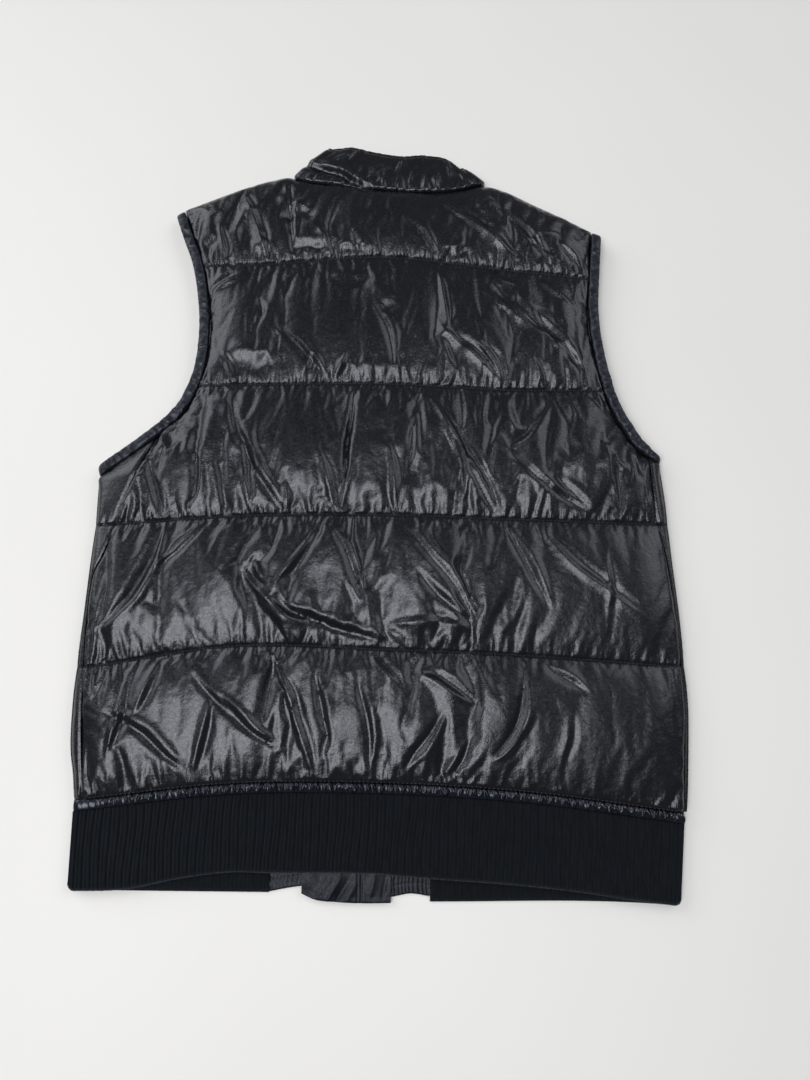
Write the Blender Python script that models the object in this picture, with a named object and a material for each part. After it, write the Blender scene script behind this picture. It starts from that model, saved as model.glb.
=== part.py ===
"""Sleeveless quilted puffer vest, laid flat on its fronts with the back up.

+X is the viewer's right with the collar away from the viewer, +Y runs from hem to collar, +Z is up.
The fronts rest on z = 0 and the back lies on them. The sizes below are in millimetres, and each
point is turned into metres as its mesh is made.
"""

import math

import bmesh
import bpy
import numpy as np

MM = 0.001
GAP = 0.3  # between two pieces at a seam
PLAN_MIDDLE = (-0.3, -0.2)  # the plan's own middle, which becomes the origin

# Layers: the fronts lie on the ground, and the back's inner face lies just above them.
FRONT_THICK = 8.0
BACK_BASE = FRONT_THICK + GAP
SEAM_TOP = 12.0  # height of the back's outer face where it is stitched down
ZIP_X = -15.0  # the centre front
ZIP_WIDTH = 4.8
SLIDER_SIZE = (9.8, 12.5, 4.6)
SLIDER_Y = 279.0  # its lower end
FRONT_MIDDLE = {"left": ZIP_X - ZIP_WIDTH / 2 - GAP, "right": ZIP_X + ZIP_WIDTH / 2 + GAP}
FRONT_MIDDLE_THICK = 2.0  # the fronts' inner edges are flat and unfilled under the flap
FLAP_LEFT, FLAP_RIGHT = -63.3, 9.3
FLAP_THICK = 1.6
FLAP_BASE = FRONT_MIDDLE_THICK + GAP

# The side edges are soft folds: their widest line lies at this height, and they round in over a radius.
FOLD_MIDDLE = 5.5
FOLD_RADIUS = 8.0
SHOULDER_DROP = 2.2
EDGE_ROUND = (
    # in from a front's edge, height
    (1.4, 0.0),
    (0.4, 1.4),
    (0.0, 4.0),
    (0.0, 5.8),
    (0.05, 7.0),
    (0.1, 7.7),
    (2.4, 8.0),
)
SIDE_PULL = 1.4  # the stitch lines draw the side edges in by this much

# Lines that cross the body: their height up the plan at five places across it.
CROSS_X = (-250.0, -125.0, 0.0, 125.0, 250.0)
CROSS_LINES = {
    "hem_seam": (-274.5, -261.5, -261.0, -268.5, -284.5),
    "quilt_4": (-166.0, -148.0, -151.0, -156.5, -165.5),
    "quilt_3": (-40.0, -31.5, -30.5, -35.0, -39.5),
    "underarm": (4.0, 8.0, 11.0, 14.0, 17.0),
    "side_seam_end": (44.6, 38.5, 34.0, 29.0, 24.5),
    "quilt_2": (94.5, 96.0, 97.0, 90.5, 91.0),
    "quilt_1": (221.0, 222.5, 230.8, 216.0, 201.5),
}
QUILTED = ("hem_seam", "quilt_4", "quilt_3", "quilt_2", "quilt_1")
CHANNEL_LOFT = (7.6, 8.0, 8.0, 7.8, 7.4)  # each channel's crown above its stitch lines

# The back's top edge: left shoulder, neck seam, right shoulder.
TOP_EDGE = (
    # x, y
    (-210.0, 279.5),
    (-194.0, 286.0),
    (-140.0, 309.0),
    (-111.0, 318.8),
    (-93.0, 321.5),
    (-84.0, 317.5),
    (-48.0, 311.5),
    (-14.0, 307.0),
    (30.0, 303.5),
    (57.0, 303.0),
    (80.0, 306.5),
    (98.0, 311.0),
    (106.0, 311.0),
    (118.5, 306.8),
    (150.0, 290.0),
    (178.0, 275.0),
    (205.0, 260.0),
    (216.0, 255.5),
)
NECK_LEFT, NECK_RIGHT = -86.0, 99.0  # the collar's two ends on that edge

# The body's outline. On each armhole it is the line along which the binding is sewn on.
LEFT_SIDE = ((-276.0, -254.5), (-253.0, -257.0), (-240.0, -259.6), (-200.0, -262.4), (-165.0, -262.6),
             (-120.0, -260.2), (-55.0, -258.6), (4.0, -258.3))
RIGHT_SIDE = ((-286.0, 255.0), (-250.0, 258.0), (-190.0, 262.5), (-150.0, 262.0), (-120.0, 260.8),
              (-65.0, 258.4), (-37.0, 258.2), (17.0, 254.0))
LEFT_ARMHOLE = ((4.0, -258.3), (29.0, -226.6), (44.7, -207.2), (67.1, -186.0), (99.5, -171.2),
                (147.3, -165.5), (192.9, -169.6), (226.0, -176.6), (258.5, -188.6), (290.0, -199.5))
RIGHT_ARMHOLE = ((17.0, 254.0), (26.0, 241.5), (55.0, 220.4), (78.0, 210.5), (105.5, 203.8),
                 (136.0, 198.9), (171.0, 196.9), (215.5, 200.4), (262.0, 205.0))
UNDERARM = {"left": 4.0, "right": 17.0}
SEAM_END = {"left": 43.0, "right": 24.5}
FRONT_ARMHOLE_CUT = 6.0  # the fronts' armholes are cut this much deeper, halfway up
LIP_SHARES = (0.25, 0.6, 1.0)  # a front's points over its lip, from the side edge to the side seam
EDGE_COLUMN = 2  # the front's points along its edge
SEAM_COLUMN = 6  # the front's first points that lie under the back

# The side seams on the upper face, where the fronts come round the sides.
LEFT_SEAM = ((-276.0, -245.3), (-200.0, -252.5), (-155.0, -255.7), (-120.0, -256.6), (-100.0, -256.4),
             (-84.0, -254.0), (-70.0, -247.6), (-55.0, -242.4), (-34.5, -237.4), (4.0, -223.3), (43.0, -208.9))
RIGHT_SEAM = ((-286.0, 251.4), (-190.0, 258.6), (-150.0, 258.2), (-120.0, 257.0), (-90.0, 254.8),
              (-66.0, 252.4), (-34.5, 246.4), (0.0, 244.6), (17.0, 244.0), (24.5, 243.2))

# The largest creases in the back's outer face. bow is how far the middle lies off the straight line,
# and rise is above the face for a ridge and below it for a trough.
CREASES = (
    # x0, y0, x1, y1, bow, width, rise
    (-138, 303, -111, 222, 0, 9, 3.5),
    (-94, 311, -88, 240, 0, 8, -3.0),
    (19, 274, 54, 231, 0, 8, -3.0),
    (58, 290, 142, 219, 0, 9, 4.0),
    (125, 276, 166, 213, 0, 8, -3.0),
    (169, 245, 195, 211, 0, 8, -2.5),
    (-97, 154, -50, 99, 0, 9, -3.5),
    (-32, 127, -48, 97, 0, 8, 3.0),
    (-168, 190, -128, 212, 0, 8, 2.5),
    (-12, 183, 11, 114, 4, 9, -3.0),
    (54, 213, 63, 150, 0, 8, 3.0),
    (53, 154, 115, 92, 0, 9, 3.5),
    (142, 211, 183, 174, 0, 8, 3.0),
    (144, 169, 192, 106, 0, 9, -3.5),
    (95, 191, 151, 144, 0, 12, 3.0),
    (-142, 85, -85, -29, -8, 11, -4.0),
    (-57, 29, -41, -29, 0, 8, 3.0),
    (-26, 85, -39, -29, 0, 9, -3.5),
    (40, 90, 108, -37, 0, 10, 4.0),
    (155, 75, 116, 31, 0, 10, -4.0),
    (116, 30, 193, -32, -6, 8, -3.0),
    (-194, -39, -243, -138, 8, 11, -5.0),
    (-158, -39, -203, -83, 0, 8, 3.0),
    (-123, -74, -58, -126, -12, 9, 4.0),
    (-101, -104, 25, -150, -6, 10, -4.5),
    (-59, -48, -93, -97, 0, 8, 3.0),
    (-48, -37, -16, -111, 4, 8, -3.0),
    (12, -37, 83, -131, 6, 9, -3.5),
    (1, -131, 81, -133, 3, 8, 3.0),
    (111, -39, 147, -118, 0, 9, -3.5),
    (139, -40, 232, -125, -8, 9, 3.0),
    (-189, -158, -207, -207, 0, 8, 3.0),
    (-236, -200, -156, -259, 4, 10, -4.5),
    (-143, -191, -155, -256, 0, 8, 3.0),
    (-162, -169, -84, -235, -5, 9, -3.5),
    (-89, -160, -53, -257, 0, 9, 4.0),
    (-56, -171, -43, -235, 0, 8, -3.0),
    (30, -169, 79, -199, 0, 9, 4.0),
    (54, -203, 19, -253, 0, 9, -3.5),
    (73, -225, 53, -256, 0, 8, 3.0),
    (123, -169, 92, -244, 8, 10, -4.0),
    (141, -165, 177, -189, 0, 8, -3.0),
)

# Rows of points up each band between two cross lines, as shares of the band.
# A band's rows crowd towards the lines that are stitched.
BANDS = (
    # lower line, upper line, rows, stitched ends
    ("hem_seam", "quilt_4", 10, "both"),
    ("quilt_4", "quilt_3", 10, "both"),
    ("quilt_3", "underarm", 4, "lower"),
    ("underarm", "side_seam_end", 3, "none"),
    ("side_seam_end", "quilt_2", 4, "upper"),
    ("quilt_2", "quilt_1", 11, "both"),
    ("quilt_1", "top", 8, "both"),
)
BACK_COLUMNS = 52
PUFF_EASE = 38.0  # the filling reaches its full loft this far in from the sides and armholes

# Hem: a gathered nylon strip, then the ribbed knit band.
STRIP_WIDTH = 9.2
STRIP_GATHERS = 80
STRIP_BASE = 4.5
STRIP_TOP = 10.0
RIB_THICK = 4.0
RIB_BASE = RIB_THICK + GAP
RIB_TOP = 8.8
RIB_PITCH = 6.7
RIB_RELIEF = 0.8
RIB_EDGES = {"left": (-254.8, -253.4), "right": (252.2, 244.6)}  # at the strip, and at the lower edge
BACK_RIB_EDGE = ((-255.0, -345.4), (-205.0, -343.8), (-161.6, -335.7), (-118.0, -331.0), (-91.0, -331.6),
                 (-7.0, -332.4), (45.0, -336.4), (115.0, -341.4), (168.0, -347.0), (202.0, -352.0),
                 (246.0, -357.0))
FRONT_RIB_EDGE = {
    "left": ((-255.0, -345.6), (-206.0, -346.2), (-90.0, -347.4)),
    "right": ((41.0, -354.6), (200.0, -355.0), (246.0, -357.4)),
}
HEM_CORNER = 6.0  # radius of the rib band's lower corners
RIB_ENDS = {"left": -89.9, "right": 41.3}  # where each front's rib stops and its nylon end begins
RIB_END_FOOT = {
    "left": ((-90.0, -346.8), (-68.0, -343.2), (-17.0, -343.2)),
    "right": ((-12.0, -350.0), (10.0, -351.0), (25.0, -348.5), (41.0, -350.5)),
}
FLAP_FOOT = ((-63.3, -348.2), (-53.0, -352.6), (-36.0, -354.6), (-14.7, -355.6), (9.3, -355.4))
ZIP_FOOT = -343.0

# Bindings round the armholes.
BINDING_WIDTH = 9.4
BINDING_THICK = 5.8
BINDING_GATHERS = 40
BINDING_UNDER = 18  # sections along the hidden half on the fronts

# Collar.
FRONT_NECK_Y = 250.0
COLLAR_HEIGHT = 43.0
COLLAR_HALF = (2.9, 2.3)  # half its thickness at the neck seam and at the top edge
COLLAR_BACK_MIDDLE = (11.6, 8.8)  # height of its middle on the back, at the seam and at the top edge
COLLAR_BACK_TOP = ((-51.5, 353.2), (-32.0, 355.6), (0.0, 349.0), (17.0, 346.6), (46.0, 347.0), (66.0, 341.0),
                   (76.0, 333.0))
COLLAR_FOLD_SECTIONS = 5
COLLAR_BACK_SECTIONS = 22
COLLAR_ARM_BOW = 16.0  # how far the hidden stretches' top edge bends towards the necklines
COLLAR_SAG = (
    # x along the back neck, depth of the fold above the seam
    (-86.0, 2.5),
    (-60.0, 4.0),
    (-35.0, 3.6),
    (-12.0, 1.8),
    (10.0, 0.0),
    (99.0, 0.0),
)


def smooth(table, at):
    """Height at `at` of a smooth curve through a table of (place, height) rows, level beyond its ends."""
    place = np.array([row[0] for row in table], float)
    height = np.array([row[1] for row in table], float)
    slope = np.gradient(height, place)
    at = np.clip(at, place[0], place[-1])
    k = np.clip(np.searchsorted(place, at) - 1, 0, len(place) - 2)
    span = place[k + 1] - place[k]
    t = (at - place[k]) / span
    rise = height[k + 1] - height[k]
    ease = t * t * (3.0 - 2.0 * t)
    return height[k] + rise * ease + span * t * (1 - t) * (slope[k] * (1 - t) - slope[k + 1] * t)


def cross_y(line, x):
    """Height up the plan of a cross line at x."""
    if line == "top":
        return smooth(TOP_EDGE, x)
    return smooth(tuple(zip(CROSS_X, CROSS_LINES[line])), x)


def channel(x, y):
    """The quilted channel that holds a point, and the point's share of the way up it."""
    lines = [cross_y(name, x) for name in QUILTED] + [cross_y("top", x)]
    number = sum(y >= line for line in lines[1:-1])
    low, high = lines[number], lines[number + 1]
    return number, float(np.clip((y - low) / (high - low), 0.0, 1.0))


def puff(share):
    """How full a channel is, from 0 on its stitch lines to 1 along its middle."""
    return (1.0 - abs(2.0 * share - 1.0) ** 2.4) ** 0.8


def edge_x(side, y):
    """The body's outline at a height up the plan, drawn in a little at each stitch line."""
    if y > UNDERARM[side]:
        return float(smooth(LEFT_ARMHOLE if side == "left" else RIGHT_ARMHOLE, y))
    x = float(smooth(LEFT_SIDE if side == "left" else RIGHT_SIDE, y))
    pull = SIDE_PULL * (1.0 - puff(channel(x, y)[1])) * min(1.0, (UNDERARM[side] - y) / 20.0)
    return x + pull if side == "left" else x - pull


def seam_x(side, y):
    """The back's edge: the side seam up to the armhole, and the binding's line above it."""
    if y >= SEAM_END[side]:
        return edge_x(side, y)
    return float(smooth(LEFT_SEAM if side == "left" else RIGHT_SEAM, y))


def front_edge_x(side, y):
    """The fronts' edge, whose armholes are cut deeper than the back's."""
    x = edge_x(side, y)
    top = 280.0 if side == "left" else 256.0
    share = (y - SEAM_END[side]) / (top - SEAM_END[side])
    cut = FRONT_ARMHOLE_CUT * math.sin(math.pi * min(max(share, 0.0), 1.0))
    return x + cut if side == "left" else x - cut


def crease_height(x, y):
    """What the creases add to the outer face at a point."""
    added = 0.0
    for x0, y0, x1, y1, bow, width, rise in CREASES:
        length = math.hypot(x1 - x0, y1 - y0)
        ahead = ((x1 - x0) / length, (y1 - y0) / length)
        share = ((x - x0) * ahead[0] + (y - y0) * ahead[1]) / length
        if 0.0 < share < 1.0:
            arch = 4.0 * share * (1.0 - share)
            off = (y - y0) * ahead[0] - (x - x0) * ahead[1] - bow * arch
            added += rise * math.sqrt(arch) * math.exp(-((off / width) ** 2))
    return added


def rounding(distance, radius):
    """How far a rounded edge has dropped, from 1 at the edge to 0 a radius in."""
    near = min(max(1.0 - distance / radius, 0.0), 1.0)
    return 1.0 - math.sqrt(1.0 - near * near)


def outer_height(x, y):
    """Height of the garment's upper outer face over a point of the plan."""
    number, share = channel(x, y)
    left, right = x - edge_x("left", y), edge_x("right", y) - x
    side = "left" if left < right else "right"
    inside = max(min(left, right), 0.0)
    ease = 1.0 - (1.0 - min(inside / PUFF_EASE, 1.0)) ** 2
    body = puff(share) * ease
    height = SEAM_TOP + CHANNEL_LOFT[number] * body + crease_height(x, y) * min(1.0, 1.6 * body)
    folded = min(max((UNDERARM[side] + 4.0 - y) / 16.0, 0.0), 1.0)
    height -= folded * (SEAM_TOP - FOLD_MIDDLE) * rounding(inside, FOLD_RADIUS)
    if not NECK_LEFT < x < NECK_RIGHT:
        height -= SHOULDER_DROP * rounding(cross_y("top", x) - y, FOLD_RADIUS)
    return height


def row_place(lower, upper, share, x):
    """Height up the plan of a row that lies between two cross lines."""
    low = float(cross_y(lower, x))
    return low + share * (float(cross_y(upper, x)) - low)


def row_end(side, lower, upper, share, edge):
    """The point where a row meets an edge, which is given as x for each height."""
    x = -230.0 if side == "left" else 230.0
    for _ in range(30):
        x = edge(side, row_place(lower, upper, share, x))
    return x


def band_shares(rows, stitched):
    """Shares of a band at which its rows lie, without the band's upper line."""
    for k in range(rows):
        t = k / rows
        if stitched == "both":
            yield (1.0 - math.cos(math.pi * t)) / 2.0
        elif stitched == "lower":
            yield 1.0 - math.cos(math.pi * t / 2.0)
        elif stitched == "upper":
            yield math.sin(math.pi * t / 2.0)
        else:
            yield 1.0 - (1.0 - t) ** 1.6


def plan_rows(thin_out=()):
    """(lower line, upper line, share) of every row, with every second row left out of some bands."""
    for lower, upper, rows, stitched in BANDS:
        shares = list(band_shares(rows, stitched))
        for share in shares[::2] if lower in thin_out else shares:
            yield lower, upper, share
    yield "quilt_1", "top", 1.0


def new_piece(name, mesh, material):
    """The object of a bmesh in millimetres, in metres about the plan's middle."""
    bmesh.ops.recalc_face_normals(mesh, faces=mesh.faces)
    for vertex in mesh.verts:
        vertex.co.x -= PLAN_MIDDLE[0]
        vertex.co.y -= PLAN_MIDDLE[1]
        vertex.co *= MM
    data = bpy.data.meshes.new(name)
    mesh.to_mesh(data)
    mesh.free()
    data.shade_smooth()
    data.set_sharp_from_angle(angle=math.radians(50))
    data.materials.append(material)
    piece = bpy.data.objects.new(name, data)
    bpy.data.collections["puffer_vest"].objects.link(piece)
    return piece


def face_grid(mesh, grid):
    """Faces over rows of vertices."""
    for row, following in zip(grid, grid[1:]):
        for k in range(len(row) - 1):
            mesh.faces.new((row[k], row[k + 1], following[k + 1], following[k]))


def grid_rim(grid):
    """The vertices round a grid, in order."""
    return (
        grid[0]
        + [row[-1] for row in grid[1:]]
        + grid[-1][-2::-1]
        + [row[0] for row in grid[-2:0:-1]]
    )


def face_band(mesh, first, second):
    """Faces between two closed loops of vertices."""
    count = len(first)
    for k in range(count):
        after = (k + 1) % count
        mesh.faces.new((first[k], first[after], second[after], second[k]))


def flat_based_wall(name, upper, base, material):
    """A cloth wall whose inner face is one flat face at a given height."""
    mesh = bmesh.new()
    above = [[mesh.verts.new(point) for point in row] for row in upper]
    face_grid(mesh, above)
    rim = grid_rim(above)
    foot = [mesh.verts.new((vertex.co.x, vertex.co.y, base)) for vertex in rim]
    face_band(mesh, rim, foot)
    mesh.faces.new(foot)
    return new_piece(name, mesh, material)


def loft(name, rings, material, closed=False):
    """A solid through rings of points, either round a closed loop or with its two ends capped."""
    mesh = bmesh.new()
    loops = [[mesh.verts.new(point) for point in ring] for ring in rings]
    for first, second in zip(loops, loops[1:]):
        face_band(mesh, first, second)
    if closed:
        face_band(mesh, loops[-1], loops[0])
    else:
        mesh.faces.new(loops[0])
        mesh.faces.new(loops[-1])
    return new_piece(name, mesh, material)


def back_grid():
    """Rows of points over the back's outer face."""
    grid = []
    for lower, upper, share in plan_rows():
        left = row_end("left", lower, upper, share, seam_x) + GAP / 2
        right = row_end("right", lower, upper, share, seam_x) - GAP / 2
        row = []
        for k in range(BACK_COLUMNS + 1):
            t = k / BACK_COLUMNS
            across = 0.7 * t + 0.3 * (1.0 - math.cos(math.pi * t)) / 2.0
            x = left + across * (right - left)
            y = row_place(lower, upper, share, x)
            row.append((x, y, max(outer_height(x, y), BACK_BASE + 1.2)))
        grid.append(row)
    return grid


def front_top_row(side):
    """The front's shoulder from the armhole to the neck, then its neckline down to the zip."""
    inward = 1.0 if side == "left" else -1.0
    tip = row_end(side, "quilt_1", "top", 1.0, edge_x)
    neck = NECK_LEFT - 3.5 if side == "left" else NECK_RIGHT + 3.5
    points = []
    for share in (0.0, 0.02, 0.35, 0.7, 1.0):
        x = tip + share * (neck - tip)
        points.append((x, float(cross_y("top", x))))
    neck_y = points[-1][1]
    middle = FRONT_MIDDLE[side]
    flap = flap_edge(side)
    stops = [flap + share * (neck - flap) for share in (0.95, 0.75, 0.4)]
    stops += [flap - inward, flap, 0.5 * (flap + middle), middle]
    for x in stops:
        across = (x - middle) / (neck - middle)
        points.append((x, FRONT_NECK_Y + (neck_y - FRONT_NECK_Y) * (1.0 - math.sqrt(1.0 - across * across))))
    return points


def flap_edge(side):
    """Where a front steps down to pass under the flap."""
    return FLAP_LEFT - GAP if side == "left" else FLAP_RIGHT + GAP


def front_row(side, lower, upper, share):
    """One row of a front's points, from under its side edge, up round it, and across to the zip."""
    inward = 1.0 if side == "left" else -1.0
    edge = row_end(side, lower, upper, share, front_edge_x)
    row = []

    def add(x, z):
        row.append((x, row_place(lower, upper, share, x), z))

    if row_place(lower, upper, share, edge) < SEAM_END[side] - 0.5:
        seam = row_end(side, lower, upper, share, seam_x) - inward * GAP / 2
        add(edge + inward * 5.0, 0.0)
        add(edge + inward * 1.5, 1.9)
        add(edge, FOLD_MIDDLE)
        for across in LIP_SHARES:
            x = edge + across * (seam - edge)
            add(x, max(outer_height(x, row_place(lower, upper, share, x)), BACK_BASE + 1.2))
    else:
        seam = edge + inward * EDGE_ROUND[-1][0]
        for across, z in EDGE_ROUND[:-1]:
            add(edge + inward * across, z)
    add(seam, FRONT_THICK)
    flap = flap_edge(side)
    for across in (0.22, 0.42, 0.6, 0.74, 0.85, 0.94):
        add(seam + across * (flap - inward - seam), FRONT_THICK)
    add(flap - inward, FRONT_THICK)
    add(flap, FRONT_MIDDLE_THICK)
    add(0.5 * (flap + FRONT_MIDDLE[side]), FRONT_MIDDLE_THICK)
    add(FRONT_MIDDLE[side], FRONT_MIDDLE_THICK)
    return row


def front_grid(side):
    """Rows of points over a front, from its hem to its shoulder and neckline."""
    inward = 1.0 if side == "left" else -1.0
    grid = []
    for lower, upper, share in plan_rows(thin_out=("side_seam_end", "quilt_2", "quilt_1")):
        if lower != "quilt_1" or share == 0.0:
            grid.append(front_row(side, lower, upper, share))
    start = grid[-1]
    top = front_top_row(side)
    ends = [top[0][0] + inward * across for across, _ in EDGE_ROUND[:-1]]
    ends = [(x, float(cross_y("top", x))) for x in ends] + top[1:]
    for share in (0.35, 0.7, 1.0):
        grid.append([
            (x + share * (to_x - x), y + share * (to_y - y), z)
            for (x, y, z), (to_x, to_y) in zip(start, ends)
        ])
    return grid


def front(side, material):
    """A front: flat under, with a lip that comes up round the side edge to the side seam."""
    mesh = bmesh.new()
    above = [[mesh.verts.new(point) for point in row] for row in front_grid(side)]
    face_grid(mesh, above)
    hem, shoulder = above[0], above[-1]
    rim = hem[SEAM_COLUMN:] + [row[-1] for row in above[1:]] + shoulder[-2:SEAM_COLUMN - 1:-1]
    foot = [mesh.verts.new((vertex.co.x, vertex.co.y, 0.0)) for vertex in rim]
    for k in range(len(rim) - 1):
        mesh.faces.new((rim[k], rim[k + 1], foot[k + 1], foot[k]))
    mesh.faces.new(hem[:SEAM_COLUMN + 1] + [foot[0]])
    mesh.faces.new(shoulder[:SEAM_COLUMN + 1] + [foot[-1]])
    mesh.faces.new([row[0] for row in above] + foot[::-1])
    return new_piece(f"front_{side}", mesh, material)


def along(points, distance):
    """The place and direction at a distance along a line of plan points."""
    points = np.array(points)
    reach = np.concatenate([[0.0], np.cumsum(np.hypot(*np.diff(points, axis=0).T))])

    def at(where):
        return np.array([np.interp(where, reach, points[:, k]) for k in (0, 1)])

    ahead = at(min(distance + 6.0, reach[-1])) - at(max(distance - 6.0, 0.0))
    return at(distance), ahead / np.hypot(*ahead), reach[-1]


def binding_section(place, side_way, out_way, swell):
    """Seven points round a binding: flat on its outer face, and square where it meets the cloth."""
    half, thick = BINDING_WIDTH / 2, BINDING_THICK / 2
    shape = (
        (-half, -0.5 * thick),
        (-half, 0.5 * thick),
        (-0.45 * half, thick + swell),
        (0.45 * half, thick + swell),
        (half, 0.35 * thick),
        (half, -0.35 * thick),
        (0.0, -thick),
    )
    return [tuple(place + across * side_way + up * out_way) for across, up in shape]


def binding(side, material):
    """A gathered strip sewn round an armhole: down the back's edge, under, and up the front's."""
    turned = 1.0 if side == "left" else -1.0
    middle_high, middle_low = BACK_BASE + BINDING_THICK / 2, BINDING_THICK / 2
    turn = (middle_high - middle_low) / 2
    trim = turn + BINDING_THICK / 2
    rows = [row for row in plan_rows() if row[0] not in ("hem_seam", "quilt_4", "quilt_3")]
    back_line = [row_point(side, row, edge_x) for row in reversed(rows)]
    foot = back_line[-1][1] - 0.1
    front_line = [row[EDGE_COLUMN][:2] for row in reversed(front_grid(side)) if row[EDGE_COLUMN][1] > foot]
    rings = []

    def section(line, distance, lift, turned_by, clearance, swell=0.0):
        """lift is along the line past its end, and turned_by runs from 0 on the back to 180 on the front."""
        place, ahead, _ = along(line, distance)
        side_way = np.array([ahead[1] * turned, -ahead[0] * turned, 0.0])
        angle = math.radians(turned_by)
        forward = math.copysign(1.0, lift) * np.array([*ahead, 0.0])
        middle = np.array([*place, (middle_high + middle_low) / 2]) + forward * turn * math.sin(angle)
        middle[2] += turn * math.cos(angle)
        out_way = forward * math.sin(angle) + np.array([0.0, 0.0, math.cos(angle)])
        middle = middle + side_way * (clearance + BINDING_WIDTH / 2)
        rings.append(binding_section(middle, side_way, out_way, swell))

    back_end = along(back_line, 0.0)[2] - trim
    front_end = along(front_line, 0.0)[2] - trim
    count = 2 * BINDING_GATHERS
    for k in range(count + 1):
        swell = 0.55 if k % 2 else -0.15
        section(back_line, trim + k / count * (back_end - trim), 1.0, 0.0, GAP, swell)
    for turned_by in (45.0, 90.0, 135.0):
        section(back_line, back_end, 1.0, turned_by, GAP)
    for k in range(BINDING_UNDER + 1):
        section(front_line, front_end + k / BINDING_UNDER * (trim - front_end), 1.0, 180.0, 2 * GAP)
    for turned_by in (135.0, 90.0, 45.0):
        section(back_line, trim, -1.0, turned_by, GAP)
    return loft(f"binding_{side}", rings, material, closed=True)


def row_point(side, row, edge):
    """The plan point where a row meets an edge."""
    x = row_end(side, *row, edge)
    return x, row_place(*row, x)


def hem_line(x):
    """The line where the shell is sewn to the gathered strip."""
    return float(cross_y("hem_seam", x))


def strip_back(material):
    """The gathered strip across the back, over the rib."""
    rings = []
    left, right = -254.2, 252.4
    for k in range(2 * STRIP_GATHERS + 1):
        x = left + k / (2 * STRIP_GATHERS) * (right - left)
        drop = 3.6 * rounding(min(x - left, right - x), 6.0)
        upper = hem_line(x) - GAP
        lower = upper - STRIP_WIDTH
        fold = 0.6 if k % 2 else -0.4
        rings.append([
            (x, upper, STRIP_BASE),
            (x, lower, STRIP_BASE),
            (x, lower, STRIP_TOP - 1.4 - drop),
            (x, 0.5 * (upper + lower), STRIP_TOP + fold - drop),
            (x, upper, STRIP_TOP - 0.2 - drop),
        ])
    return loft("hem_strip_back", rings, material)


def strip_front(side, material):
    """A front's part of the gathered strip, from the side to the nylon end."""
    outer = -254.2 if side == "left" else 252.4
    inner = RIB_ENDS[side]
    rings = []
    for k in range(11):
        x = outer + k / 10 * (inner - outer)
        lift = 1.8 * rounding(abs(x - outer), 4.0)
        upper = hem_line(x) - GAP
        rings.append([
            (x, upper, lift),
            (x, upper - STRIP_WIDTH, lift),
            (x, upper - STRIP_WIDTH, STRIP_BASE - GAP),
            (x, upper, STRIP_BASE - GAP),
        ])
    return loft(f"hem_strip_{side}", rings, material)


def rib_rings(left, right, foot, base, top, rib_side):
    """Sections across a ribbed band between two side lines, each given at its upper and lower ends.

    rib_side is the side or sides of the band that fold round the garment's edge.
    """
    ribs = round((right[0] - left[0]) / RIB_PITCH)
    rings = []
    for k in range(2 * ribs + 1):
        share = k / (2 * ribs)
        x_top = left[0] + share * (right[0] - left[0])
        x_foot = left[1] + share * (right[1] - left[1])
        near = min(
            x_top - left[0] if "left" in rib_side else 1000.0,
            right[0] - x_top if "right" in rib_side else 1000.0,
        )
        y_top = hem_line(x_top) - STRIP_WIDTH - 2 * GAP
        y_foot = float(smooth(foot, x_foot)) + HEM_CORNER * rounding(near, HEM_CORNER)
        floor = base + (2.0 * rounding(near, 4.0) if base == 0.0 else 0.0)
        crest = top - (0.0 if k % 2 else RIB_RELIEF)
        crest -= (top - base - 2.0) * rounding(near, 5.0) if base > 0.0 else 0.0
        rings.append([
            (x_top, y_top, floor),
            (x_foot, y_foot, floor),
            (x_foot, y_foot, floor + 0.5 * (crest - floor)),
            (x_foot, y_foot + 1.8, crest),
            (x_top, y_top, crest),
        ])
    return rings


def ribs(material):
    """The ribbed band: the back's part over the two fronts' parts."""
    loft("rib_back", rib_rings(RIB_EDGES["left"], RIB_EDGES["right"], BACK_RIB_EDGE, RIB_BASE, RIB_TOP,
                               ("left", "right")), material)
    end = RIB_ENDS["left"]
    loft("rib_left", rib_rings(RIB_EDGES["left"], (end, end), FRONT_RIB_EDGE["left"], 0.0, RIB_THICK,
                               ("left",)), material)
    end = RIB_ENDS["right"]
    loft("rib_right", rib_rings((end, end), RIB_EDGES["right"], FRONT_RIB_EDGE["right"], 0.0, RIB_THICK,
                                ("right",)), material)


def rib_end(side, material):
    """The smooth nylon piece that ends a front's rib beside the zip."""
    outer = RIB_ENDS[side] + (GAP if side == "left" else -GAP)
    inner = FRONT_MIDDLE[side]
    rings = []
    for k in range(7):
        x = outer + k / 6 * (inner - outer)
        upper = hem_line(x) - GAP
        foot = float(smooth(RIB_END_FOOT[side], x))
        rings.append([
            (x, upper, 0.0),
            (x, foot, 0.0),
            (x, foot + 0.6, FRONT_MIDDLE_THICK),
            (x, upper, FRONT_MIDDLE_THICK),
        ])
    return loft(f"rib_end_{side}", rings, material)


def placket_flap(material):
    """The flap behind the zip, over the fronts' inner edges, from the neck seam to below the hem."""
    rings = []
    for x, foot in FLAP_FOOT:
        rings.append([
            (x, foot, FLAP_BASE),
            (x, foot + 0.5, FLAP_BASE + FLAP_THICK),
            (x, FRONT_NECK_Y - 3.0, FLAP_BASE + FLAP_THICK),
            (x, FRONT_NECK_Y - 3.0, FLAP_BASE),
        ])
    return loft("placket_flap", rings, material)


def box_rings(stations, low, high):
    """Rectangles round the centre front, from (place up the plan, width) rows."""
    return [
        [(ZIP_X + side * width / 2, y, z) for side, z in ((-1, low), (1, low), (1, high), (-1, high))]
        for y, width in stations
    ]


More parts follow.
